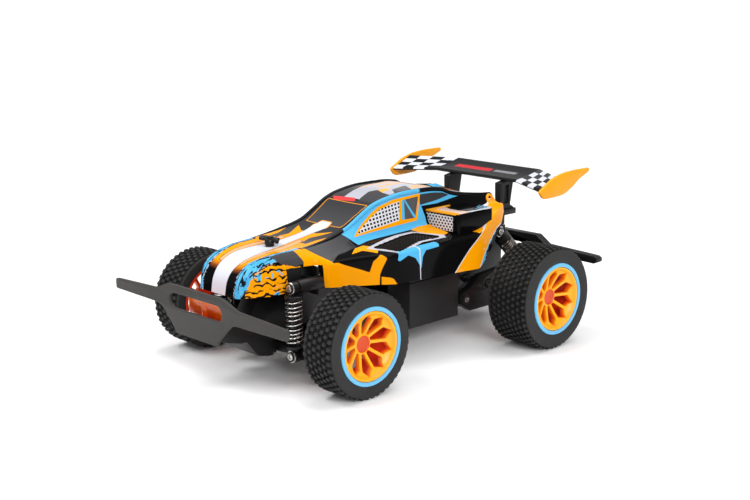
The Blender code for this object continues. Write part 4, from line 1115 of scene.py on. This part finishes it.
LILAC = (0.42, 0.42, 0.48)
LAYERS = [
    layer("hood_grey", shaded_grey, ("top", (0, 1), [(-1, -52), (14, -52), (18, -40), (18, -9), (-1, -9)])),
    layer("hood_orange", fading_orange, ("top", (0, 1.2), [
        (-1, -91), (11.2, -91), (11.6, -85), (13.4, -78), (14.8, -70), (15.2, -62), (14.6, -52), (-1, -50.5)])),
    layer("rail_orange", ORANGE, ("top", (0, 1), [(13.2, -60), (17.4, -58), (17.4, -46), (16.4, -38), (13.6, -46)])),
    layer("spike", ORANGE, ("top", (0, 1), [(3.4, -52), (9.4, -50), (7.6, -44.5), (12.8, -33.5), (5.4, -38.5), (3.4, -38)])),
    layer("hood_peach", PEACH, ("top", (0, 1), [
        (6.0, -87), (8.4, -86.6), (9.8, -78), (10.3, -66), (9.2, -54), (8.0, -49), (5.0, -49), (7.2, -66)]),
        border=((0.05, 0.03, 0.02), 0.28)),
    layer("hood_line", (0.06, 0.04, 0.03), ("top", (0, 1), [
        (8.2, -88), (10.6, -79), (11.5, -67), (10.4, -54), (10.7, -54), (11.9, -67), (11.0, -79), (8.6, -88)])),
    layer("outboard_blue", brushed_blue,
          ("top", (0, 1.6), [(12.4, -97), (11.8, -91), (12.3, -85), (14.1, -78), (15.6, -70), (16.0, -60),
                             (19.0, -60), (23.0, -70), (23.0, -97)]),
          ("side", (1, 2.7), [(-98, 42), (-98, 60), (-70, 64), (-73, 59), (-80, 58.5), (-84.5, 56.5),
                              (-88.4, 52), (-90.5, 42)]), tear=0.5, border=((0.45, 0.46, 0.48), 0.3)),
    layer("grey_patch", GREY, ("side", (1.0, 2.5), [
        (-77.5, 61), (-66, 63.5), (-62.5, 63), (-60.5, 57), (-66, 55), (-73, 57)]), tear=0.25),
    layer("claw_orange", clawed_orange, ("side", (1.45, 4), [
        (-92, 42), (-91, 46), (-89, 51.5), (-86, 55), (-80, 57.6), (-73, 57.5), (-66, 55.4), (-56, 54), (-56, 42)]),
        tear=0.35),
    layer("windscreen", smoked, ("top", (0, 1), [(-1, -28.6), (12.4, -28.6), (14.0, -12.2), (-1, -12.2)]),
          border=(ORANGE, 0.42)),
    layer("stripe_edge", (0.05, 0.035, 0.03), ("top", (0, 1), [
        (-1, -97), (5.2, -97), (5.7, -92), (6.3, -88), (7.1, -80), (6.7, -70), (5.3, -62), (4.0, -54),
        (3.5, -44), (3.8, -38), (4.6, -33), (-1, -33)])),
    layer("tip_edge", ORANGE, ("top", (0, 1), [(-1, -33), (4.7, -33), (5.5, -30.4), (3.7, -25.8), (-1, -25.8)])),
    layer("white_stripe", WHITE, ("top", (0, 1), [
        (-1, -97), (4.9, -97), (5.4, -92), (6.0, -88), (6.8, -80), (6.4, -70), (5.0, -62), (3.7, -54),
        (3.2, -44), (3.5, -38), (4.9, -30.6), (3.4, -26.4), (-1, -26.4)])),
    layer("fender_grey", shaded_grey,
          ("side", (0.9, 2.1), [(-61, 65), (-57, 61), (-51, 55), (-44, 56), (-31, 59), (-31.3, 63.4), (-35.5, 68)]),
          ("top", (1.9, 3.05), [(20, -57), (32, -52.5), (31, -50), (28.1, -44.6), (24.4, -31.3), (20, -31)])),
    layer("fender_orange", ORANGE,
          ("side", (1, 4), [(-64.5, 64), (-58, 62.6), (-50.8, 56.6), (-50.8, 40), (-66, 40), (-61.5, 57)]),
          ("side", (2.96, 4.1), [(-51, 57.2), (-45.1, 54.4), (-37, 51.2), (-32.9, 49.4), (-31, 54.5), (-27, 57.6),
                                 (-24.6, 55.6), (-26.9, 50.9), (-28.1, 47.7), (-28.6, 40), (-51, 40)])),
    layer("low_crescent", ORANGE, ("side", (3, 4.1), [(-27.4, 46.8), (-23.8, 46.1), (-22.2, 45.4), (-20.4, 42.4), (-27.5, 42)])),
    layer("crescent", ORANGE, ("top", (2.02, 3), [
        (31.0, -38.3), (27.5, -32.9), (27.0, -27.2), (30.1, -23.9), (34.5, -24.4), (37.2, -27.0), (34, -29),
        (31.0, -31.4), (31.2, -35.3)])),
    layer("belt_blue", SKY, ("side", (1.0, 2.06), [
        (-34.8, 66.8), (-31.3, 63.4), (-27.0, 58), (12, 58), (22.5, 59), (22.5, 66), (21, 71.8), (32.6, 71.6),
        (41, 72.4), (46, 73.0), (50.5, 73.4), (52, 74.4), (50, 75.6), (44, 77), (24, 81), (14, 82), (-5, 80), (-20, 74.5)])),
    layer("quarter_grey", shaded_grey, ("side", (1.12, 2.2), [
        (21.0, 77.8), (35.3, 78.6), (39.6, 76.6), (43.6, 74.6), (33, 73.2), (20.3, 72.3)])),
    layer("window_frame", ORANGE, ("side", (1.0, 2.1), [
        (-27.6, 63.2), (-13.6, 72.1), (-7.7, 75.1), (2.6, 77.3), (21.9, 78.0), (16.4, 65.2)])),
    layer("window_net", window_net, ("side", (1.0, 2.1), [
        (-24.9, 64.0), (-13.2, 70.7), (-6.8, 73.8), (0, 75.2), (6.5, 76.0), (4.3, 66.7)])),
    layer("rear_pane", (0.075, 0.075, 0.08), ("side", (1.0, 2.1), [(8.0, 76.2), (20.2, 76.8), (15.4, 66.5), (6.0, 66.8)])),
    layer("pane_lines", SKY,
          ("side", (1.0, 2.1), [(8.0, 76.2), (9.7, 76.3), (8.2, 66.8), (6.0, 66.8)]),
          ("side", (1.0, 2.1), [(9.5, 76.2), (10.5, 76.2), (15.8, 67.6), (15.3, 66.6), (14.6, 66.6)])),
    layer("roof_lilac", LILAC, ("plan", (0, 0.93), [(-15, -8), (15, -8), (15, 44), (-15, 44)])),
    layer("roof_peach", PEACH, ("plan", (0, 0.93), [(-10.5, 0), (-13, 14), (-13.5, 32), (-8.5, 32), (-8.4, 10)]),
          ("plan", (0, 0.93), [(-4, 12), (0, 10), (-2, 30), (-7, 34)]), ("plan", (0, 0.93), [(6, 26), (14, 20), (12, 36), (2, 40)])),
    layer("roof_orange", (0.93, 0.42, 0.08), ("plan", (0, 0.93), [(2.6, 6.5), (8.6, 3.9), (7.8, 10.5), (3.4, 13)]),
          ("plan", (0, 0.93), [(-9, 36), (-2, 32), (-3, 44), (-9, 44)])),
    layer("roof_grey", GREY,
          ("plan", (0, 0.93), [(-17, -9), (-6.3, -9), (-9.0, 0), (-10.5, 8), (-12, 22), (-17, 34)]),
          ("plan", (0, 0.93), [(4.6, -9), (17, -9), (17, 3), (8.8, 3.9), (2.6, 6.5), (0.6, 2)]),
          ("plan", (0, 0.93), [(8.4, 11), (17, 5), (17, 18), (4, 25)])),
    layer("roof_mark", (0.70, 0.05, 0.05), ("plan", (0, 1), [(-14, -9.0), (0.8, -7.2), (3.4, -10.3), (-10.4, -12.0)])),
    layer("leaf_trim", (0.45, 0.45, 0.50), ("top", (2, 3.1), [
        (30.3, -28), (28.2, -20), (25.8, -11), (24.6, -2), (25.0, 8.0), (36.2, 20.0), (39.4, 18.5), (38.6, 2),
        (43.8, -14.6), (43.2, -18.4), (36.6, -23.4)])),
    layer("spider", SKY, ("side", (2.86, 4), [
        (-19.6, 53.8), (-18.9, 57.4), (-11, 60.5), (-0.5, 60.5), (8.4, 60), (8.0, 56.6), (-1.4, 56.2), (-3.6, 53.4),
        (-4.7, 47.9), (-6.0, 49.8), (-8.6, 53.6), (-13.3, 55.6), (-18.4, 53.4)])),
    layer("drip", WHITE, ("side", (2.7, 4.1), [(-5.9, 60), (-5.2, 60), (-5.0, 41), (-5.6, 41)])),
    layer("wedge", ORANGE, ("top", (2, 3), [(23.2, 9.5), (21.4, 24), (35.2, 24.6), (36.4, 20.0), (28.2, 11.2)])),
    layer("foot_orange", ORANGE, ("top", (2, 3.02), [(35.7, 33.5), (35.0, 50.8), (40.6, 47.4), (44.4, 40)])),
    layer("deck_lilac", LILAC, ("plan", (0, 0.95), [(-9, 70), (1.6, 74.6), (7.6, 66.5), (3, 60), (-3, 62)])),
    # the first brown shape is painted shade in the deck's centre between the bulges; the second is a brown stripe
    # across the deck
    layer("deck_stripe_and_shade", (0.22, 0.07, 0.02),
          ("plan", (0, 0.95), [(3, 60), (7.6, 66.5), (10.6, 64), (7, 56)]),
          ("plan", (0, 0.95), [(-9, 70), (-13, 66), (-15, 70), (-7, 76), (1, 76), (1.6, 74.6)])),
    layer("deck_splash", SKY, ("plan", (0.3, 1.0), [(-22, 66), (-14, 66), (-14, 74), (-22, 74)]), tear=0.5),
    layer("torn_blue", SKY, ("side", (2, 4.1), [(55, 63), (47, 54.5), (39, 40), (43, 40), (46, 48), (52, 53), (62, 60)]),
          tear=0.5),
    # the swoosh's peach patches are painted highlights
    layer("swoosh", orange_with_painted_highlights, ("side", (1.6, 4.1), [
        (76, 74), (71.6, 72.0), (69.6, 69.2), (66.0, 67.4), (60, 66.6), (53.6, 64.2), (49, 61.8), (42.5, 58.4), (31.1, 51.2),
        (25, 46), (19.0, 40.4), (38.4, 39.5), (43.6, 47.0), (48.5, 51.7), (58, 58), (76, 62)]), border=(WHITE, 0.5)),
]

def build_body():
    mesh = body_mesh()
    lay_print(mesh, LAYERS)
    piece("body_skin", mesh, print_material("body_print", LAYERS), replaces=["body_shell"],
          smooth=32)
    lines = body_rails()
    for side, towards in SIDES:
        ridge = lines[:, 1] * (towards, 1, 1)
        part = ridge[(ridge[:, 1] > -60) & (ridge[:, 1] < 71)][::2] + (-0.35 * towards, 0, -0.35)
        taper = np.clip(np.minimum(np.arange(len(part)), np.arange(len(part))[::-1]) / 14, 0.12, 1)
        rail = sweep(part, 1.25 * taper, 16)
        outside = rail.attributes.new("outside", "FLOAT", "POINT")
        count = len(rail.vertices)
        places = np.empty(count * 3, np.float32)
        rail.vertices.foreach_get("co", places)
        places = places.reshape(-1, 3) / MM + (0, MIDDLE_Y, 0)
        line = np.interp(places[:, 1], part[:, 1], np.abs(part[:, 0]))
        outside.data.foreach_set("value", (np.abs(places[:, 0]) - line).astype(np.float32))
        piece(f"body_rail_{side}", rail, RAIL_PRINT, smooth=50)


def build_liner(side, towards):
    """The dark inner wall of a front wheel arch."""
    x = 20.4 * towards
    wall = [(-70.4, 30), (-70.4, 56.2), (-53.6, 56.2), (-52, 45.5), (-31, 45), (-31, 31), (-52, 27), (-66, 27)]
    parts = [slab(wall, "YZ", sorted((x, x - 1.0 * towards)), bevel=0.3)]
    parts.append(block(sorted((x, 26.6 * towards)), (-56.2, -54.8), (40.5, 54.2), 0.5))
    piece(f"arch_liner_{side}", joined(parts), SHOCK_BLACK)


def build_tail_ring(side, towards):
    """The orange oval that frames a dark hollow on the outer face of the deck's rear ridge."""
    middle = np.array((23.7 * towards, 69.8, 69.0))
    ring = []
    for k in range(40):
        a = 2 * math.pi * k / 40
        ring.append(middle + (-1.5 * towards * math.sin(a), 2.1 * math.cos(a) + 0.3 * math.sin(a), 2.5 * math.sin(a)))
    piece(f"deck_ring_{side}", sweep(ring, 0.72, 14, closed=True), FIN_ORANGE)


def torn_paint():
    """Blue splashes that break up over black."""
    made = Paint("torn_blue", SKY, 0.14, specular=0.2)
    torn = made.ramp(made.noise(330, 4.0, (1.2, 0.7, 1.0), distortion=1.8), 0.50, 0.52)
    return made.mottle(70, 0.05, 0.04, 0.000006, 900, colour=made.mix(torn, BLACK, SKY)).material


def rail_print():
    """Black, with the belt's blue on the outer half beside the cabin."""
    made = Paint("rail_print", BLACK, 0.13, specular=0.16)
    _, y, _ = made.axes()
    outside = made.node("ShaderNodeAttribute", attribute_name="outside").outputs["Fac"]
    cabin = made.math("MULTIPLY", made.ramp(y, -31.5, -31.0), made.ramp(y, 21.5, 20.5))
    blue = made.math("MULTIPLY", made.ramp(outside, 0.20, 0.34), cabin)
    return made.mottle(70, 0.05, 0.04, 0.000006, 900, colour=made.mix(blue, BLACK, SKY)).material


def dotted(made):
    """White mesh print with staggered black holes, on the panel's own UV map."""
    parts = made.node("ShaderNodeSeparateXYZ")
    made.put(made.node("ShaderNodeUVMap", uv_map="print").outputs["UV"], parts.inputs[0])
    u, v = parts.outputs["X"], parts.outputs["Y"]
    odd = made.math("MODULO", made.math("FLOOR", v), 2.0)
    across = made.math("SUBTRACT", made.math("FRACT", made.math("MULTIPLY_ADD", odd, 0.5, u)), 0.5)
    up = made.math("MULTIPLY", made.math("SUBTRACT", made.math("FRACT", v), 0.5), 0.8)
    far = made.math("SQRT", made.math("ADD", made.math("MULTIPLY", across, across), made.math("MULTIPLY", up, up)))
    return made.mix(made.ramp(far, 0.335, 0.285), (0.58, 0.58, 0.61), (0.008, 0.008, 0.009))


def smoothed(places, steps=6):
    """A smooth line through the points."""
    places = np.array(places, float)
    ends = np.vstack([2 * places[0] - places[1], places, 2 * places[-1] - places[-2]])
    made = []
    for k in range(1, len(ends) - 2):
        a, b, c, d = ends[k - 1:k + 3]
        for t in np.arange(steps) / steps:
            made.append(0.5 * (2 * b + (c - a) * t + (2 * a - 5 * b + 4 * c - d) * t * t
                               + (3 * b - a - 3 * c + d) * t ** 3))
    made.append(places[-1])
    return made


def build_clip():
    """The pin that holds the shell on its post: a thick bent wire and the post's collar."""
    low, high = (np.array(corner) / MM + (0, MIDDLE_Y, 0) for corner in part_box("body_clip"))
    level = (low[2] + high[2]) / 2
    wire = [(-5.0, -64.4, level), (-1, -63, level), (4.6, -62.8, level), (6.0, -63.4, level - 0.5)]
    bow = [(-5.0, -64.4, level), (-6.4, -62.9, level), (-5.0, -61.0, level), (-2.4, -60.6, level),
           (1.0, -60.9, level), (3.6, -60.4, level)]
    parts = [sweep(smoothed(wire), 0.95, 12), sweep(smoothed(bow), 0.9, 12)]
    parts.append(spun([(0.0, 0.0), (2.2, 0.0), (2.4, 0.4), (2.4, 2.5), (2.0, 2.9), (0.0, 2.9)],
                      (0, -63, level - 2.6), (0, 0, 1), 40))
    piece("body_clip_pin", joined(parts), FRAME_BLACK, replaces=["body_clip"], smooth=45)


def build_intake(side, towards):
    """A side intake: its box, its printed grille and its orange brow."""
    outline = arc_corner((19.4, 24), (41.2, 25.4), (39.4, 53), 2.4) + [(39.4, 53), (19.4, 53), (19.4, 24)]
    outline = [(x * towards, y) for x, y in outline]
    shell = slab(outline, "XY", (58.5, 69.4), bevel=0.45)
    piece(f"intake_box_{side}", shell, RAIL_BLACK, smooth=40)
    inner, outer = np.array((19.9, 23.9)), np.array((37.6, 25.05))
    corners = [(*inner, 60.4), (*outer, 60.4), (*outer, 67.9), (*inner, 68.4)]
    back = [(x, y + 0.4, z) for x, y, z in corners]
    points = [(x * towards, y, z) for x, y, z in corners + back]
    faces = [(0, 1, 2, 3), (7, 6, 5, 4), (0, 4, 5, 1), (1, 5, 6, 2), (2, 6, 7, 3), (3, 7, 4, 0)]
    mesh = from_arrays(points, faces)
    layer_uv = mesh.uv_layers.new(name="print")
    width = float(np.linalg.norm(outer - inner))
    places = [(0, 0), (width, 0), (width, 7.5), (0, 8.0)] * 2
    for corner in mesh.loops:
        u, v = places[corner.vertex_index]
        layer_uv.data[corner.index].uv = (u / 2.0, v / 1.45)
    piece(f"intake_grille_{side}", bevelled(mesh, 0.05, 1), GRILLE)
    brow = [(19.5, 23.7), (38.6, 24.8), (40.9, 26.4), (38.9, 28.0), (24.0, 27.6), (22.4, 29), (21.4, 41.0), (19.5, 41.0)]
    lay_flat(f"intake_brow_{side}", brow, towards, (68.9, 69.75), FIN_ORANGE)
    # the pinkish peach band behind the brow is a painted highlight along the brow's inner edge
    peach = [(22.5, 29.2), (24.1, 27.8), (38.8, 28.2), (40.6, 27.4), (40.2, 35), (34, 33.4), (27.6, 33.6), (22.0, 36)]
    lay_flat(f"intake_edge_highlight_{side}", peach, towards, (68.9, 69.68), PEACH_HIGHLIGHT)
    # the pale line along the lid's outer edge is a painted highlight
    edge = [(40.3, 34.6), (39.5, 52.6), (38.7, 52.6), (39.2, 41), (38.2, 34.2)]
    lay_flat(f"intake_line_highlight_{side}", edge, towards, (68.9, 69.66), PALE_HIGHLIGHT)
    splash = [(38.6, 41.5), (38.4, 52.4), (31, 52.2), (33.5, 47.5), (36, 46), (34.8, 43.5)]
    lay_flat(f"intake_splash_{side}", splash, towards, (68.9, 69.64), SPLASH_BLUE)


def arc_corner(before, corner, after, radius):
    """An outline's corner turned into an arc."""
    corner = np.array(corner, float)
    one = (np.array(before) - corner) / np.linalg.norm(np.array(before) - corner)
    two = (np.array(after) - corner) / np.linalg.norm(np.array(after) - corner)
    made = []
    for k in range(9):
        t = k / 8
        made.append(tuple(corner + one * radius * (1 - t) ** 2 + two * radius * t ** 2))
    return made


def lay_flat(name, outline, towards, between, paint):
    """A thin patch on an intake's lid; the brow and the splash are print, the peach and pale strips are painted
    highlights.
    """
    outline = [(x * towards, y) for x, y in outline]
    piece(name, slab(rounded(outline, 0.35), "XY", between, bevel=0.12), paint)


def build_duct_floor(side, towards):
    """The fine black mesh at the bottom of a pod's duct."""
    leaf = rounded(DUCT, 1.4)
    middle = np.mean(leaf, axis=0)
    count = len(leaf)
    points, faces = [], []
    for share, low in ((0.99, 49.6), (1.06, 48.6)):
        for p in leaf:
            x, y = middle + (np.array(p) - middle) * share
            points += [(x * towards, y, low), (x * towards, y, 64.57 - 0.168 * x + 0.026 * y)]
    for k in range(count):
        inner, nxt = 2 * k, 2 * ((k + 1) % count)
        outer, far = inner + 2 * count, nxt + 2 * count
        faces += [(inner, nxt, nxt + 1, inner + 1), (far, outer, outer + 1, far + 1),
                  (inner + 1, nxt + 1, far + 1, outer + 1)]
    faces.append(tuple(2 * k for k in reversed(range(count))))
    faces.append(tuple(2 * count + 2 * k for k in range(count)))
    mesh = from_arrays(points, faces)
    bm = bmesh.new()
    bm.from_mesh(mesh)
    bmesh.ops.recalc_face_normals(bm, faces=bm.faces)
    bm.to_mesh(mesh)
    bm.free()
    piece(f"duct_floor_{side}", mesh, DUCT_MESH, smooth=30)


# ---------------------------------------------------------------- finishes

build_studio()
aim_camera()

RUBBER = Paint("tyre_rubber", (0.019, 0.0184, 0.0182), 0.7, specular=0.3)
# the tread's floor between the lugs is painted near black: painted shade in the gaps
RUBBER = RUBBER.mottle(160, 0.22, 0.08, 0.00004, 1600, colour=RUBBER.mix(
    RUBBER.node("ShaderNodeAttribute", attribute_name="tread_gap_shade").outputs["Fac"],
    (0.019, 0.0184, 0.0182), (0.0025, 0.0024, 0.0023))).material
RIM_ORANGE = rim_paint()
RING_BLUE = plastic("ring_blue", (0.13, 0.43, 0.70), 0.42, amount=0.05)
FIN_ORANGE = plastic("fin_orange", (0.80, 0.315, 0.001), 0.38, 2600, 0.000015, 0.06)
SHOCK_BLACK = plastic("shock_black", (0.005, 0.005, 0.0055), 0.30, amount=0.2)
FRAME_BLACK = plastic("frame_black", (0.006, 0.006, 0.0065), 0.38, amount=0.2)
POST_BLACK = plastic("post_black", (0.009, 0.009, 0.0095), 0.42, amount=0.2)
TUB_BLACK = plastic("tub_charcoal", (0.013, 0.0125, 0.013), 0.5, 2400, 0.00003, 0.2)
RAIL_BLACK = Paint("rail_black", (0.0022, 0.0022, 0.0025), 0.12, specular=0.05).mottle(
    90, 0.2, 0.07, 0.000006, 900).material
BUMPER_GREY = plastic("bumper_grey", (0.036, 0.034, 0.031), 0.55, 2600, 0.00004, 0.12)
RAIL_PRINT = rail_print()
# peach finish for the painted highlight behind the intake's brow
PEACH_HIGHLIGHT = Paint("painted_peach_highlight", (0.66, 0.48, 0.40), 0.2, specular=0.3).mottle(70, 0.08, 0.05, 0.00001, 900).material
GRILLE = Paint("grille_print", (0.6, 0.6, 0.62), 0.3, specular=0.3)
GRILLE = GRILLE.mottle(70, 0.05, 0.05, 0.00001, 900, colour=dotted(GRILLE)).material
# pale finish for the painted highlight along the intake lid's outer edge
PALE_HIGHLIGHT = Paint("painted_pale_highlight", (0.55, 0.56, 0.60), 0.2, specular=0.3).mottle(70, 0.06, 0.05, 0.00001, 900).material
SPLASH_BLUE = torn_paint()
DUCT_MESH = Paint("duct_mesh", (0.01, 0.01, 0.01), 0.35, specular=0.2)
DUCT_MESH = DUCT_MESH.mottle(70, 0.05, 0.05, 0.00001, 900, colour=DUCT_MESH.mix(
    lattice(DUCT_MESH, 1.1, 1.1, 0.9, 0.30), (0.045, 0.040, 0.038), (0.002, 0.002, 0.002))).material
BRACE_ORANGE = brace_paint()
SCREW_STEEL = metal("screw_steel", (0.62, 0.60, 0.57), 0.28)
COIL_STEEL = metal("coil_steel", (0.60, 0.58, 0.55), 0.26)
DARK_COIL = metal("dark_coil", (0.22, 0.20, 0.18), 0.30)
MOTOR_STEEL = metal("motor_steel", (0.55, 0.55, 0.56), 0.35)
NYLON = plastic("nylon_white", (0.72, 0.72, 0.69), 0.45, amount=0.06)
BRASS = metal("pinion_brass", (0.70, 0.50, 0.22), 0.3)
SERVO_GREY = plastic("servo_grey", (0.035, 0.035, 0.037), 0.5)
CELL_BLACK = plastic("cell_wrap", (0.010, 0.010, 0.012), 0.34, 500, 0.00002, 0.1)
BOARD_GREEN = plastic("board_green", (0.004, 0.028, 0.012), 0.4, 1500, 0.00003, 0.2)

# ---------------------------------------------------------------- assembly

for side, towards in SIDES:
    wheel("front", side, towards, 25.0, 19.7, 67.3, f"front_wheel_{side}", 46, 6, 0.37)
    wheel("rear", side, towards, 26.2, 25.6, 78.1, "rear_axle", 50, 8, 0.29)
    x = 27.0 * towards
    shock(f"front_{side}", x, (x, -71.5, 47.0), (x, -71.5, 14.3), (0, 1, 0), 21.0, 11.0, 10, 0.32, 1,
          "chassis", f"shock_rod_front_{side}", COIL_STEEL)
    fastener(f"screw_front_top_{side}", (x, -73.4, 47.0), (0, -1, 0), "chassis")
    fastener(f"screw_front_foot_{side}", (x, -73.4, 14.3), (0, -1, 0), f"front_arm_{side}")
    x = 34.0 * towards
    shock(f"rear_{side}", x, (x, 63.7, 54.3), (x, 82.4, 36.3), (towards, 0, 0), 14.8, 13.2, 8, 0.4, 3,
          f"shock_body_rear_{side}", f"shock_rod_rear_{side}", DARK_COIL)
    fastener(f"screw_rear_top_{side}", (35.9 * towards, 63.7, 54.3), (towards, 0, 0), "chassis")
    fastener(f"screw_rear_foot_{side}", (35.9 * towards, 82.4, 36.3), (towards, 0, 0), "rear_swing")
    fastener(f"screw_pivot_{side}", (31.5 * towards, 42, 20.6), (towards, 0, 0), "chassis", 1.4, 1.9)
    refine(f"front_arm_{side}", FRAME_BLACK)
    refine(f"knuckle_{side}", FRAME_BLACK)
    build_intake(side, towards)
    build_duct_floor(side, towards)
    build_tail_ring(side, towards)
    build_liner(side, towards)

build_clip()
build_bumpers()
build_wing()
build_body()
for node, paint in (
    ("chassis_tub", TUB_BLACK), ("chassis_cover", TUB_BLACK), ("battery_door", TUB_BLACK),
    ("front_bulkhead", FRAME_BLACK), ("front_shock_tower", FRAME_BLACK), ("rear_frame", FRAME_BLACK),
    ("swing_frame", FRAME_BLACK), ("steering_link", FRAME_BLACK), ("power_switch", FRAME_BLACK),
    ("gearbox_case", FRAME_BLACK), ("gearbox_cover", FRAME_BLACK),
    ("steering_servo", SERVO_GREY), ("servo_horn", NYLON), ("circuit_board", BOARD_GREEN),
    ("battery_pack", CELL_BLACK), ("drive_motor", MOTOR_STEEL), ("rear_axle", SCREW_STEEL),
):
    refine(node, paint)
for node, paint in (
    ("axle_gear", NYLON), ("idler_gear", NYLON), ("motor_pinion", BRASS), ("battery_door_screw", SCREW_STEEL),
):
    frame["nodes"][node].data.materials.clear()
    frame["nodes"][node].data.materials.append(paint)
